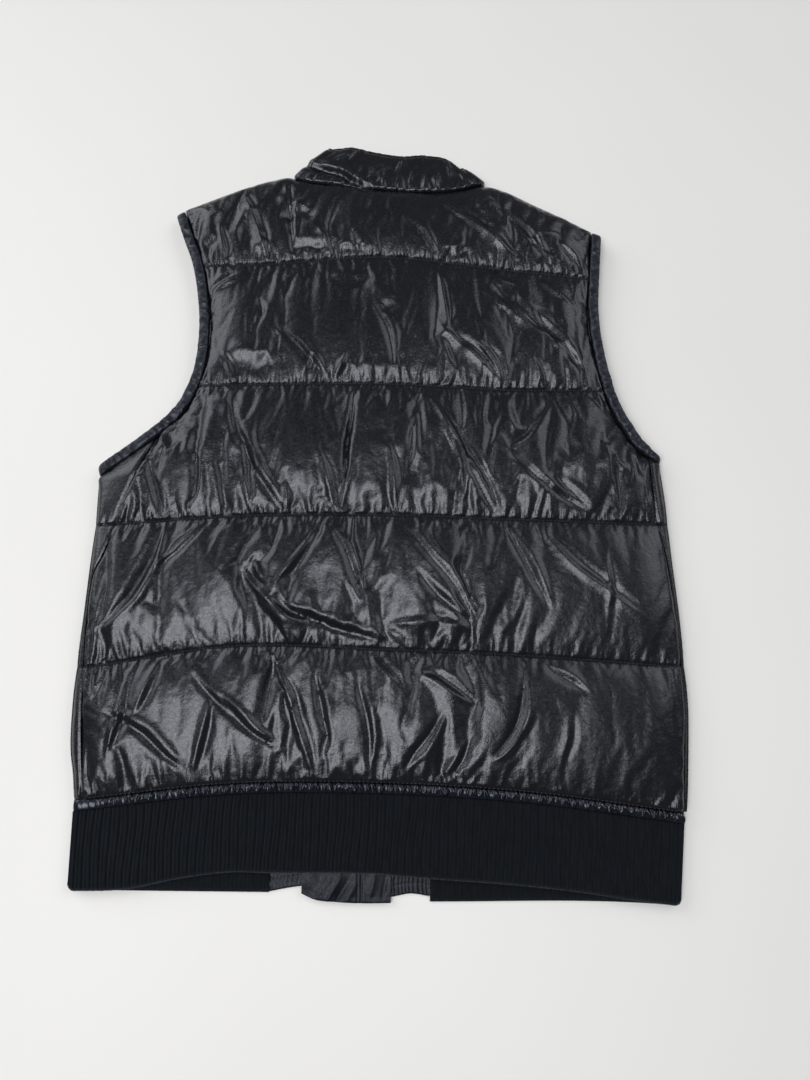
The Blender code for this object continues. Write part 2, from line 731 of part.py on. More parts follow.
def zip_and_slider(material):
    """The closed zip between the fronts' inner edges, and its slider between the collar's ends.

    The slider's pull lies flat under it.
    """
    width, length, height = SLIDER_SIZE
    chain = (
        (ZIP_FOOT, ZIP_WIDTH),
        (FRONT_NECK_Y + 1.0, ZIP_WIDTH),
        (FRONT_NECK_Y + 5.0, width),
        (SLIDER_Y - GAP, width),
    )
    loft("zip", box_rings(chain, 0.3, FRONT_MIDDLE_THICK - 0.1), material)
    body = (
        (SLIDER_Y, 0.6 * width),
        (SLIDER_Y + 0.25 * length, width),
        (SLIDER_Y + 0.75 * length, width),
        (SLIDER_Y + length, 0.5 * width),
    )
    loft("zip_slider", box_rings(body, 0.3, height), material)


def collar_folds():
    """(seam point, top point, way out) of the fold at each side of the neck."""
    folds = {}
    for side, x, turned in (("left", NECK_LEFT + 2.5, 1.0), ("right", NECK_RIGHT - 2.5, -1.0)):
        seam = np.array([x, float(cross_y("top", x)) + 2 * GAP])
        top = np.array(COLLAR_BACK_TOP[0] if side == "left" else COLLAR_BACK_TOP[-1])
        ahead = (top - seam) / np.hypot(*(top - seam))
        folds[side] = seam, top, turned * np.array([-ahead[1], ahead[0]])
    return folds


def collar_arm(side, fold):
    """(seam point, top point) of each section on a front, from the zip out to the fold."""
    inward = 1.0 if side == "left" else -1.0
    line = front_top_row(side)[5:][::-1]
    line[0] = (ZIP_X - inward * (SLIDER_SIZE[0] / 2 + GAP), line[0][1])
    line = [np.array(point) for point in line if abs(point[0] - flap_edge(side)) > 0.1] + [fold[0]]
    reach = np.concatenate([[0.0], np.cumsum([np.hypot(*(b - a)) for a, b in zip(line, line[1:])])])
    top_start = line[0] + (0.0, COLLAR_HEIGHT)
    sections = []
    for seam, share in zip(line, reach / reach[-1]):
        top = top_start + share * (fold[1] - top_start)
        ahead = (top - seam) / np.hypot(*(top - seam))
        top = top - ahead * COLLAR_ARM_BOW * 4.0 * share * (1.0 - share)
        sections.append((seam + ahead * 1.5 * GAP if share < 1.0 else seam, top))
    return sections


def collar_stations():
    """(seam point, top point, turn, way out of the fold) of each section, from zip to zip.

    The turn is 0 where the collar lies face down on the ground, and 180 where it lies face up at the back.
    """
    folds = collar_folds()
    stations = [(*section, 0.0, folds["left"][2]) for section in collar_arm("left", folds["left"])]
    for k in range(1, COLLAR_FOLD_SECTIONS):
        stations.append((*folds["left"][:2], 180.0 * k / COLLAR_FOLD_SECTIONS, folds["left"][2]))
    left, right = folds["left"][0][0], folds["right"][0][0]
    top_left, top_right = COLLAR_BACK_TOP[0][0], COLLAR_BACK_TOP[-1][0]
    for k in range(COLLAR_BACK_SECTIONS + 1):
        share = k / COLLAR_BACK_SECTIONS
        x = left + share * (right - left)
        top_x = top_left + share * (top_right - top_left)
        seam = np.array([x, float(cross_y("top", x)) + 2 * GAP])
        top = np.array([top_x, float(smooth(COLLAR_BACK_TOP, top_x))])
        stations.append((seam, top, 180.0, folds["left"][2]))
    for k in range(1, COLLAR_FOLD_SECTIONS):
        stations.append((*folds["right"][:2], 180.0 - 180.0 * k / COLLAR_FOLD_SECTIONS, folds["right"][2]))
    arm = [(*section, 0.0, folds["right"][2]) for section in collar_arm("right", folds["right"])]
    return stations + arm[::-1]


def collar(material):
    """The stand collar: one band from zip to zip, folded at both sides of the neck."""
    rings = []
    for seam, top, turn, out in collar_stations():
        angle = math.radians(turn)
        out_way = np.array([*(out * math.sin(angle)), -math.cos(angle)])
        raised = (1.0 - math.cos(angle)) / 2.0
        sag = float(smooth(COLLAR_SAG, seam[0])) * (1.0 if turn == 180.0 else 0.0)
        ring = []
        for share, face in ((0.0, 1), (0.16, 1), (0.3, 1), (0.6, 1), (0.88, 1), (1.0, 1),
                            (1.0, -1), (0.5, -1), (0.0, -1)):
            half = COLLAR_HALF[0] + share * (COLLAR_HALF[1] - COLLAR_HALF[0])
            high = COLLAR_BACK_MIDDLE[0] + share * (COLLAR_BACK_MIDDLE[1] - COLLAR_BACK_MIDDLE[0])
            radius = (high - half) / 2.0
            plan = seam + share * (top - seam) + out * radius * math.sin(angle)
            middle = np.array([*plan, (high + half) / 2.0 - radius * math.cos(angle)])
            depth = half
            if face > 0:
                depth += 1.8 * raised * math.sin(math.pi * share)
                depth -= sag * math.exp(-(((share - 0.16) / 0.1) ** 2))
                if share in (0.0, 1.0):
                    depth -= 0.5 * raised
            ring.append(tuple(middle + face * out_way * depth))
        rings.append(ring)
    return loft("collar", rings, material)


def material(name, colour, roughness, coat=0.0):
    """A Principled material."""
    made = bpy.data.materials.new(name)
    made.use_nodes = True
    shader = made.node_tree.nodes["Principled BSDF"]
    shader.inputs["Base Color"].default_value = (*colour, 1.0)
    shader.inputs["Roughness"].default_value = roughness
    shader.inputs["Coat Weight"].default_value = coat
    made.diffuse_color = (*colour, 1.0)
    return made


def main():
    for thing in list(bpy.data.objects):
        bpy.data.objects.remove(thing, do_unlink=True)
    collection = bpy.data.collections.new("puffer_vest")
    bpy.context.scene.collection.children.link(collection)

    shell = material("glossy_nylon", (0.030, 0.030, 0.037), 0.3, coat=0.3)
    trim = material("gathered_nylon", (0.030, 0.033, 0.042), 0.42)
    knit = material("rib_knit", (0.005, 0.008, 0.011), 0.95)
    teeth = material("zip_teeth", (0.02, 0.02, 0.022), 0.45)

    flat_based_wall("back_panel", back_grid(), BACK_BASE, shell)
    for side in ("left", "right"):
        front(side, shell)
        binding(side, trim)
        strip_front(side, trim)
        rib_end(side, trim)
    strip_back(trim)
    ribs(knit)
    collar(shell)
    placket_flap(trim)
    zip_and_slider(teeth)


main()
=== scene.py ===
"""Glossy black quilted puffer vest, laid on its front on a pale floor.

Sizes are in millimetres in the plan of the vest: x across, y from hem to collar, z up. place() turns
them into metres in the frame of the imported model.
"""

import math

import bmesh
import bpy
import numpy as np
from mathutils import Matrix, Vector


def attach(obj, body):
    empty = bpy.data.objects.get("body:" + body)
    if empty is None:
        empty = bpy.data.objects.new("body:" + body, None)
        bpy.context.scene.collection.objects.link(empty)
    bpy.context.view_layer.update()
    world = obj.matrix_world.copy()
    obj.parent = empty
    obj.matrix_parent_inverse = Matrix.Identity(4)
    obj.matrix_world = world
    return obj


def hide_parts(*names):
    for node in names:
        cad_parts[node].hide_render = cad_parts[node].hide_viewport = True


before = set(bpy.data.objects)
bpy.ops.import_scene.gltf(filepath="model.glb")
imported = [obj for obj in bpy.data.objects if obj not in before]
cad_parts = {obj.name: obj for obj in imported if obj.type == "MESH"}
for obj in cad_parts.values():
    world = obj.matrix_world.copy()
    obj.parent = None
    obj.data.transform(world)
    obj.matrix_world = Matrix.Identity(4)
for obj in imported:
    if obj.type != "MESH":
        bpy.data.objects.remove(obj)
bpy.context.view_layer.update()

MM = 0.001
GAP = 0.3
PLAN_MIDDLE = (-0.3, -0.2)
SIDES = ("left", "right")
INWARD = {"left": 1.0, "right": -1.0}

# ---------------------------------------------------------------------------------------------------
# The vest's layout, the same as its solids'.

FRONT_THICK = 8.0
BACK_BASE = FRONT_THICK + GAP
SEAM_TOP = 12.0
ZIP_X = -15.0
ZIP_WIDTH = 4.8
SLIDER_WIDTH = 9.8
FRONT_MIDDLE = {"left": ZIP_X - ZIP_WIDTH / 2 - GAP, "right": ZIP_X + ZIP_WIDTH / 2 + GAP}
FRONT_MIDDLE_THICK = 2.0
FLAP_EDGE = {"left": -63.3, "right": 9.3}
FLAP_BASE = FRONT_MIDDLE_THICK + GAP
FLAP_THICK = 1.6
FOLD_MIDDLE = 5.5
FOLD_RADIUS = 8.0
SHOULDER_DROP = 2.2
SIDE_PULL = 1.4  # how far a side is drawn in at each stitch line
SIDE_PULL_FADE = 20.0

CROSS_X = (-250.0, -125.0, 0.0, 125.0, 250.0)
CROSS_LINES = {
    "hem_seam": (-274.5, -261.5, -261.0, -268.5, -284.5),
    "quilt_4": (-166.0, -148.0, -151.0, -156.5, -165.5),
    "quilt_3": (-40.0, -31.5, -30.5, -35.0, -39.5),
    "quilt_2": (94.5, 96.0, 97.0, 90.5, 91.0),
    "quilt_1": (221.0, 222.5, 230.8, 216.0, 201.5),
}
LINES = (*CROSS_LINES, "top")
CHANNEL_LOFT = (7.6, 8.0, 8.0, 7.8, 7.4)
TOP_EDGE = (
    (-210.0, 279.5), (-194.0, 286.0), (-140.0, 309.0), (-111.0, 318.8), (-93.0, 321.5), (-84.0, 317.5),
    (-48.0, 311.5), (-14.0, 307.0), (30.0, 303.5), (57.0, 303.0), (80.0, 306.5), (98.0, 311.0),
    (106.0, 311.0), (118.5, 306.8), (150.0, 290.0), (178.0, 275.0), (205.0, 260.0), (216.0, 255.5),
)
NECK_LEFT, NECK_RIGHT = -86.0, 99.0
BODY_SIDE = {
    "left": ((-276.0, -254.5), (-253.0, -257.0), (-240.0, -259.6), (-200.0, -262.4), (-165.0, -262.6),
             (-120.0, -260.2), (-55.0, -258.6), (4.0, -258.3)),
    "right": ((-286.0, 255.0), (-250.0, 258.0), (-190.0, 262.5), (-150.0, 262.0), (-120.0, 260.8),
              (-65.0, 258.4), (-37.0, 258.2), (17.0, 254.0)),
}
ARMHOLE = {
    "left": ((4.0, -258.3), (29.0, -226.6), (44.7, -207.2), (67.1, -186.0), (99.5, -171.2),
             (147.3, -165.5), (192.9, -169.6), (226.0, -176.6), (258.5, -188.6), (290.0, -199.5)),
    "right": ((17.0, 254.0), (26.0, 241.5), (55.0, 220.4), (78.0, 210.5), (105.5, 203.8),
              (136.0, 198.9), (171.0, 196.9), (215.5, 200.4), (262.0, 205.0)),
}
UNDERARM = {"left": 4.0, "right": 17.0}
SEAM_END = {"left": 43.0, "right": 24.5}
SHOULDER_TIP = {"left": 280.0, "right": 256.0}
FRONT_ARMHOLE_CUT = 6.0
SIDE_SEAM = {
    "left": ((-276.0, -245.3), (-200.0, -252.5), (-155.0, -255.7), (-120.0, -256.6), (-100.0, -256.4),
             (-84.0, -254.0), (-70.0, -247.6), (-55.0, -242.4), (-34.5, -237.4), (4.0, -223.3),
             (43.0, -208.9)),
    "right": ((-286.0, 251.4), (-190.0, 258.6), (-150.0, 258.2), (-120.0, 257.0), (-90.0, 254.8),
              (-66.0, 252.4), (-34.5, 246.4), (0.0, 244.6), (17.0, 244.0), (24.5, 243.2)),
}

# The large creases of the back, the same as its solid's but for one trough, the row with -2.2, which is
# shallower here. Bow is the middle's offset from a straight line, and rise is above the face for a ridge
# and below it for a trough.
CREASES = (
    # x0, y0, x1, y1, bow, width, rise
    (-138, 303, -111, 222, 0, 9, 3.5),
    (-94, 311, -88, 240, 0, 8, -3.0),
    (19, 274, 54, 231, 0, 8, -3.0),
    (58, 290, 142, 219, 0, 9, 4.0),
    (125, 276, 166, 213, 0, 8, -3.0),
    (169, 245, 195, 211, 0, 8, -2.5),
    (-97, 154, -50, 99, 0, 9, -3.5),
    (-32, 127, -48, 97, 0, 8, 3.0),
    (-168, 190, -128, 212, 0, 8, 2.5),
    (-12, 183, 11, 114, 4, 9, -3.0),
    (54, 213, 63, 150, 0, 8, 3.0),
    (53, 154, 115, 92, 0, 9, 3.5),
    (142, 211, 183, 174, 0, 8, 3.0),
    (144, 169, 192, 106, 0, 9, -3.5),
    (95, 191, 151, 144, 0, 12, 3.0),
    (-142, 85, -85, -29, -8, 11, -4.0),
    (-57, 29, -41, -29, 0, 8, 3.0),
    (-26, 85, -39, -29, 0, 9, -2.2),
    (40, 90, 108, -37, 0, 10, 4.0),
    (155, 75, 116, 31, 0, 10, -4.0),
    (116, 30, 193, -32, -6, 8, -3.0),
    (-194, -39, -243, -138, 8, 11, -5.0),
    (-158, -39, -203, -83, 0, 8, 3.0),
    (-123, -74, -58, -126, -12, 9, 4.0),
    (-101, -104, 25, -150, -6, 10, -4.5),
    (-59, -48, -93, -97, 0, 8, 3.0),
    (-48, -37, -16, -111, 4, 8, -3.0),
    (12, -37, 83, -131, 6, 9, -3.5),
    (1, -131, 81, -133, 3, 8, 3.0),
    (111, -39, 147, -118, 0, 9, -3.5),
    (139, -40, 232, -125, -8, 9, 3.0),
    (-189, -158, -207, -207, 0, 8, 3.0),
    (-236, -200, -156, -259, 4, 10, -4.5),
    (-143, -191, -155, -256, 0, 8, 3.0),
    (-162, -169, -84, -235, -5, 9, -3.5),
    (-89, -160, -53, -257, 0, 9, 4.0),
    (-56, -171, -43, -235, 0, 8, -3.0),
    (30, -169, 79, -199, 0, 9, 4.0),
    (54, -203, 19, -253, 0, 9, -3.5),
    (73, -225, 53, -256, 0, 8, 3.0),
    (123, -169, 92, -244, 8, 10, -4.0),
    (141, -165, 177, -189, 0, 8, -3.0),
)

STRIP_WIDTH = 9.2
STRIP_BASE = 4.5
STRIP_TOP = 10.0
STRIP_ENDS = (-254.2, 252.4)
RIB_THICK = 4.0
RIB_BASE = RIB_THICK + GAP
RIB_TOP = 8.8
RIB_PITCH = 6.7
RIB_EDGES = {"left": (-254.8, -253.4), "right": (252.2, 244.6)}
BACK_RIB_EDGE = ((-255.0, -345.4), (-205.0, -343.8), (-161.6, -335.7), (-118.0, -331.0), (-91.0, -331.6),
                 (-7.0, -332.4), (45.0, -336.4), (115.0, -341.4), (168.0, -347.0), (202.0, -352.0),
                 (246.0, -357.0))
FRONT_RIB_EDGE = {
    "left": ((-255.0, -345.6), (-206.0, -346.2), (-90.0, -347.4)),
    "right": ((41.0, -354.6), (200.0, -355.0), (246.0, -357.4)),
}
HEM_CORNER = 6.0
RIB_ENDS = {"left": -89.9, "right": 41.3}
RIB_END_FOOT = {
    "left": ((-90.0, -346.8), (-68.0, -343.2), (-17.0, -343.2)),
    "right": ((-12.0, -350.0), (10.0, -351.0), (25.0, -348.5), (41.0, -350.5)),
}
FLAP_FOOT = ((-63.3, -348.2), (-53.0, -352.6), (-36.0, -354.6), (-14.7, -355.6), (9.3, -355.4))

BINDING_WIDTH = 9.4
BINDING_THICK = 5.8

FRONT_NECK_Y = 250.0
COLLAR_HEIGHT = 43.0
COLLAR_HALF = (2.9, 2.3)
COLLAR_BACK_MIDDLE = (11.6, 8.8)
COLLAR_BACK_TOP = ((-52.5, 357.0), (-32.0, 358.0), (0.0, 350.8), (17.0, 348.4), (46.0, 348.8),
                   (66.0, 343.0), (76.0, 333.0))
COLLAR_ARM_BOW = 16.0


def smooth(table, at):
    """A smooth curve through a table of (place, height) rows, level beyond its ends."""
    place = np.array([row[0] for row in table], float)
    height = np.array([row[1] for row in table], float)
    slope = np.gradient(height, place)
    at = np.clip(at, place[0], place[-1])
    k = np.clip(np.searchsorted(place, at) - 1, 0, len(place) - 2)
    span = place[k + 1] - place[k]
    t = (at - place[k]) / span
    rise = height[k + 1] - height[k]
    ease = t * t * (3.0 - 2.0 * t)
    return height[k] + rise * ease + span * t * (1 - t) * (slope[k] * (1 - t) - slope[k + 1] * t)


def cross_y(line, x):
    """How far up the plan a cross line lies at x."""
    if line == "top":
        return smooth(TOP_EDGE, x)
    return smooth(tuple(zip(CROSS_X, CROSS_LINES[line])), x)


def row_y(number, share, x):
    """How far up the plan a row lies: `share` of the way up channel `number`."""
    number = np.broadcast_to(number, np.shape(x))
    lines = np.stack([cross_y(name, x) for name in LINES])
    low = np.take_along_axis(lines, number[None], 0)[0]
    high = np.take_along_axis(lines, number[None] + 1, 0)[0]
    return low + share * (high - low)


def puff(share):
    """How full a channel is, from 0 on its stitch lines to 1 along its middle."""
    return (1.0 - np.abs(2.0 * share - 1.0) ** 2.4) ** 0.8


LINE_LOFT = 0.38  # the share of a channel's loft that rises right beside a stitch line
LINE_REACH = 0.06


def lying_puff(share):
    """How full a channel of the lying vest is: it rises steeply beside its stitch lines."""
    near = np.minimum(share, 1.0 - share)
    beside = 1.0 - np.exp(-near / LINE_REACH)
    arch = 1.0 - (2.0 * share - 1.0) ** 2
    return LINE_LOFT * beside + (1.0 - LINE_LOFT) * arch


def edge_x(side, y, share):
    """The body's outline at a height up the plan."""
    pull = SIDE_PULL * (1.0 - puff(share)) * np.clip((UNDERARM[side] - y) / SIDE_PULL_FADE, 0.0, 1.0)
    body = smooth(BODY_SIDE[side], y) + INWARD[side] * pull
    return np.where(y > UNDERARM[side], smooth(ARMHOLE[side], y), body)


def seam_x(side, y, share):
    """The back's edge: the side seam up to the armhole, and the binding's line above it."""
    return np.where(y >= SEAM_END[side], edge_x(side, y, share), smooth(SIDE_SEAM[side], y))


def front_edge_x(side, y, share):
    """The fronts' edge, whose armholes are cut deeper than the back's."""
    up = np.clip((y - SEAM_END[side]) / (SHOULDER_TIP[side] - SEAM_END[side]), 0.0, 1.0)
    return edge_x(side, y, share) + INWARD[side] * FRONT_ARMHOLE_CUT * np.sin(math.pi * up)


ROW_END_START = 230.0
ROW_END_ROUNDS = 30


def row_ends(side, number, share, edge):
    """Where rows meet an edge, found by stepping along each row from a place near it."""
    x = np.full(np.shape(share), -INWARD[side] * ROW_END_START)
    for _ in range(ROW_END_ROUNDS):
        x = edge(side, row_y(number, share, x), share)
    return x


def rounding(distance, radius):
    """How far a rounded edge has dropped, from 1 at the edge to 0 a radius in."""
    near = np.clip(1.0 - distance / radius, 0.0, 1.0)
    return 1.0 - np.sqrt(1.0 - near * near)


# ---------------------------------------------------------------------------------------------------
# Relief of the shell.

NOISE_WAVES = 14
NOISE_LEVEL = 5.0


def soft_noise(x, y, scale, seed):
    """Smooth irregular values between about -1 and 1 over the plan."""
    pick = np.random.default_rng(seed)
    total = np.zeros(np.shape(x))
    for _ in range(NOISE_WAVES):
        angle, phase = pick.uniform(0.0, 2.0 * math.pi, 2)
        wave = 2.0 * math.pi / (scale * pick.uniform(0.6, 1.7))
        total += np.sin((x * math.cos(angle) + y * math.sin(angle)) * wave + phase)
    return total / NOISE_LEVEL


def crease_height(x, y, table, sharpness=2.0, wander=0.0):
    """What a table of creases adds at points of the plan; wander bends them there."""
    added = np.zeros(np.shape(x))
    for x0, y0, x1, y1, bow, width, rise in table:
        length = math.hypot(x1 - x0, y1 - y0)
        ahead_x, ahead_y = (x1 - x0) / length, (y1 - y0) / length
        share = ((x - x0) * ahead_x + (y - y0) * ahead_y) / length
        arch = np.clip(4.0 * share * (1.0 - share), 0.0, 1.0)
        off = (y - y0) * ahead_x - (x - x0) * ahead_y - bow * arch + wander
        reach = width * (0.4 + 0.6 * arch)
        added += rise * arch ** 0.75 * np.exp(-np.abs(off / reach) ** sharpness)
    return added


# The finer creases that the cloth has between the large ones.
FINE_CREASES = (
    # x0, y0, x1, y1, bow, width, rise
    (-98, 311, -90, 278, 0, 7, 2.5),
    (22, 272, 45, 238, 0, 6, 2.0),
    (-170, 190, -143, 206, 0, 6, 2.0),
    (-119, 185, -113, 162, 0, 6, -2.0),
    (84, 142, 115, 92, 3, 6, 2.5),
    (139, 123, 152, 90, 0, 6, 2.5),
    (-85, -2, -84, -29, 0, 6, 2.5),
    (76, 27, 108, -37, -3, 6, -3.0),
    (152, 8, 193, -32, 0, 5, -2.0),
    (-108, -109, -58, -126, -5, 6, 3.0),
    (-110, -74, -101, -92, 0, 5, 2.5),
    (0, -133, 25, -150, -3, 7, -3.0),
    (-30, -92, -16, -111, 0, 6, 2.0),
    (29, -78, 83, -131, -4, 6, -3.0),
    (139, -40, 145, -59, 0, 5, -2.0),
    (-179, -242, -156, -259, 0, 6, 2.5),
    (-136, -187, -84, -235, -4, 7, -3.0),
    (-9, -154, 19, -182, -3, 7, 3.5),
    (118, -217, 92, -244, 4, 7, 2.5),
    (-180, 250, -172, 222, 0, 6, 2.0),
    (-160, 262, -152, 224, 0, 6, 2.5),
    (-64, 262, -50, 226, 0, 6, 2.0),
    (-30, 258, -24, 232, 0, 6, -2.0),
    (-66, 128, -78, 100, 0, 6, 2.0),
    (-150, 128, -140, 100, 0, 6, 2.5),
    (-168, 30, -176, -30, 4, 7, -2.5),
    (-128, 40, -118, -26, 0, 7, 2.0),
    (-210, 20, -196, -34, 0, 6, -2.0),
    (6, 40, 14, -32, 0, 6, 2.0),
    (30, 60, 24, 10, 0, 6, -2.0),
    (200, 40, 214, -30, 0, 6, 1.5),
    (-214, -176, -226, -240, 0, 6, 2.5),
    (-20, -175, -8, -250, 4, 7, -2.5),
    (160, -200, 150, -250, 0, 6, 1.5),
    (200, -60, 196, -140, 0, 6, 1.5),
)
CREASE_NARROWING = 0.42
CREASE_LEAST = 3.2  # narrower creases would fall between the rows of the grid
CREASE_RISE = 0.85
CREASE_SHARPNESS = 1.4
CREASE_WANDER = 0.9
WANDER_SCALE = 40.0
HOLLOW_OFFSET = 1.7  # how far beside a crease its hollow lies, in widths of the crease
HOLLOW_RISE = -0.5


def folds(x, y):
    """The lying cloth's creases: crisp, each with a shallow hollow along one side."""
    added = np.zeros(np.shape(x))
    wander = CREASE_WANDER * soft_noise(x, y, WANDER_SCALE, 71)
    for table in (CREASES, FINE_CREASES):
        crisp = tuple((*ends, bow, max(CREASE_LEAST, CREASE_NARROWING * width), CREASE_RISE * rise)
                      for *ends, bow, width, rise in table)
        beside = tuple((*ends, bow + HOLLOW_OFFSET * width, width, HOLLOW_RISE * rise)
                       for *ends, bow, width, rise in crisp)
        added += (crease_height(x, y, crisp, CREASE_SHARPNESS, wander)
                  + crease_height(x, y, beside, 2.0, wander))
    return added


# Plates of cloth that lie flat between the folds, each tilted towards the hem.
PLATES = (
    # x, y, half width, half height, turn in degrees, slope
    (-125, 120, 26, 15, -8, 0.28),
    (-11, 106, 33, 10, 0, 0.28),
    (-33, 203, 17, 8, -12, 0.28),
    (4, 178, 8, 13, 35, 0.28),
    (114, 194, 15, 11, -40, 0.28),
    (146, 166, 28, 9, -42, 0.28),
    (65, 137, 8, 19, 25, 0.28),
    (175, 126, 21, 6, -48, 0.28),
    (-155, 74, 11, 7, -10, 0.17),
    (-127, 24, 13, 18, 20, 0.17),
    (1, 55, 15, 15, -35, 0.17),
    (23, 24, 12, 22, 25, 0.17),
    (54, 40, 15, 25, 0, 0.17),
    (-68, -5, 17, 20, -30, 0.17),
    (-21, -12, 19, 16, 0, 0.17),
    (117, 49, 13, 12, 30, 0.17),
    (169, 12, 26, 16, -25, 0.17),
    (45, -14, 24, 12, 0, 0.17),
    (-186, -133, 35, 17, 0, 0.09),
    (-62, -81, 30, 22, -30, 0.09),
    (5, -99, 17, 18, -20, 0.09),
    (46, -104, 11, 23, 25, 0.09),
    (-43, -138, 31, 8, -10, 0.09),
    (26, -145, 21, 7, 0, 0.09),
    (-174, -199, 42, 31, -15, 0.05),
    (-104, -245, 22, 16, -20, 0.05),
    (-23, -177, 22, 18, 0, 0.05),
    (-18, -222, 13, 27, -8, 0.05),
    (11, -209, 10, 24, -8, 0.05),
    (-70, -176, 11, 18, 15, 0.05),
    (-161, -255, 21, 14, 0, 0.05),
    (-174, 247, 9, 20, -12, 0.36),
    (-130, 269, 10, 22, 0, 0.36),
    (-86, 281, 16, 12, 0, 0.36),
    (-69, 245, 22, 9, 0, 0.36),
    (-28, 238, 14, 6, 0, 0.36),
    (70, 236, 11, 8, 20, 0.36),
    (103, 276, 10, 14, 30, 0.36),
    (157, 245, 14, 9, -30, 0.36),
    (-118, 236, 10, 9, 0, 0.36),
)
PLATE_WANDER = 3.0
PLATE_WANDER_SCALE = 26.0
PLATE_RISE = 10.0  # a plate's slope eases off beyond this distance from its middle

# Places where the cloth lies calmer than elsewhere: x, y, reach, share of the folds that is gone.
CALM = (
    (195, -95, 85, 0.80),
    (185, -222, 88, 0.80),
    (-179, -76, 45, 0.45),
    (-83, 55, 32, 0.60),
    (-50, 158, 42, 0.55),
    (70, 200, 30, 0.40),
    (-157, -204, 52, 0.60),
    (20, 268, 45, 0.60),
    (-150, 185, 30, 0.40),
)
PLATE_CALM = 0.5  # share of the settled folds that is gone within a plate
UPPER_CALM = 0.42  # share of them that is gone in the two upper channels
UPPER_FROM = 30.0
UPPER_EASE = 80.0
LIVELINESS = 0.85
LIVELINESS_VARIES = 0.25
LIVELINESS_SCALE = 90.0


def plate_relief(x, y):
    """The plates' height at points of the plan, and how far each point belongs to a plate."""
    added, within = np.zeros(np.shape(x)), np.zeros(np.shape(x))
    wander_x = PLATE_WANDER * soft_noise(x, y, PLATE_WANDER_SCALE, 83)
    wander_y = PLATE_WANDER * soft_noise(x, y, PLATE_WANDER_SCALE, 89)
    for middle_x, middle_y, half_width, half_height, turn, slope in PLATES:
        ahead_x, ahead_y = math.cos(math.radians(turn)), math.sin(math.radians(turn))
        off_x, off_y = x - middle_x + wander_x, y - middle_y + wander_y
        along_it = off_x * ahead_x + off_y * ahead_y
        over_it = off_y * ahead_x - off_x * ahead_y
        mask = np.exp(-(along_it / half_width) ** 4 - (over_it / half_height) ** 4)
        added += slope * PLATE_RISE * np.tanh(off_y / PLATE_RISE) * mask
        within = np.maximum(within, mask)
    return added, within


def liveliness(x, y):
    """How strongly the settled folds show at points of the plan."""
    shown = LIVELINESS - LIVELINESS_VARIES * soft_noise(x, y, LIVELINESS_SCALE, 97)
    shown *= 1.0 - PLATE_CALM * plate_relief(x, y)[1]
    shown *= 1.0 - UPPER_CALM * np.clip((y - UPPER_FROM) / UPPER_EASE, 0.0, 1.0)
    for middle_x, middle_y, reach, gone in CALM:
        shown *= 1.0 - gone * np.exp(-(np.hypot(x - middle_x, y - middle_y) / reach) ** 4)
    return shown


SIDE_EASE = 38.0  # how far in from a side the loft reaches its full height
RELIEF_EASE = 1.6


def base_height(x, y, number, share):
    """The upper outer face's height, without its fine relief."""
    left, right = x - edge_x("left", y, share), edge_x("right", y, share) - x
    inside = np.maximum(np.minimum(left, right), 0.0)
    ease = 1.0 - (1.0 - np.minimum(inside / SIDE_EASE, 1.0)) ** 2
    loft = np.array(CHANNEL_LOFT)[number]
    height = SEAM_TOP + loft * lying_puff(share) * ease
    height += (folds(x, y) + plate_relief(x, y)[0]) * np.minimum(1.0, RELIEF_EASE * puff(share) * ease)
    underarm = np.where(left < right, UNDERARM["left"], UNDERARM["right"])
    folded = np.clip((underarm + 4.0 - y) / 16.0, 0.0, 1.0)
    height -= folded * (SEAM_TOP - FOLD_MIDDLE) * rounding(inside, FOLD_RADIUS)
    shoulder = (x < NECK_LEFT) | (x > NECK_RIGHT)
    return height - shoulder * SHOULDER_DROP * rounding(cross_y("top", x) - y, FOLD_RADIUS)


PUCKER_REACH = 262.0  # the puckers run from this far left to this far right


def puckers(x, y, seed):
    """Short ridges that run away from each stitch line, thickest just above it."""
    pick = np.random.default_rng(seed)
    added = np.zeros(np.shape(x))
    for line, name in enumerate(LINES[:-1]):
        for up in (1.0, -1.0):
            if line == 0 and up < 0.0:
                continue
            at = -PUCKER_REACH
            while at < PUCKER_REACH:
                at += pick.uniform(3.5, 9.0)
                width = pick.uniform(1.5, 2.6)
                reach = pick.uniform(5.0, 20.0) * (1.0 if up > 0.0 else 0.6)
                slant = pick.normal(0.0, 0.3)
                rise = pick.uniform(0.25, 0.85) * (1.0 if pick.random() < 0.6 else -0.9)
                rise *= 1.0 if up > 0.0 else 0.6
                line_y = float(cross_y(name, at))
                window = (np.abs(x - at) < 4.0 * width + abs(slant) * 2 * reach) & (
                    np.abs(y - line_y) < 2.6 * reach)
                if not window.any():
                    continue
                away = up * (y[window] - cross_y(name, x[window]))
                off = x[window] - at - slant * away
                fade = np.where(away > 0.0, np.exp(-(np.maximum(away, 0.0) / reach) ** 1.5), 0.0)
                start = np.clip(away / 1.4, 0.0, 1.0)
                added[window] += rise * fade * start * np.exp(-np.abs(off / width) ** 1.7)
    return added


# ---------------------------------------------------------------------------------------------------
# Mesh builders. Points are millimetres in the plan.

def place(points):
    """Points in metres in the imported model's frame."""
    return (np.asarray(points, float) - (*PLAN_MIDDLE, 0.0)) * MM


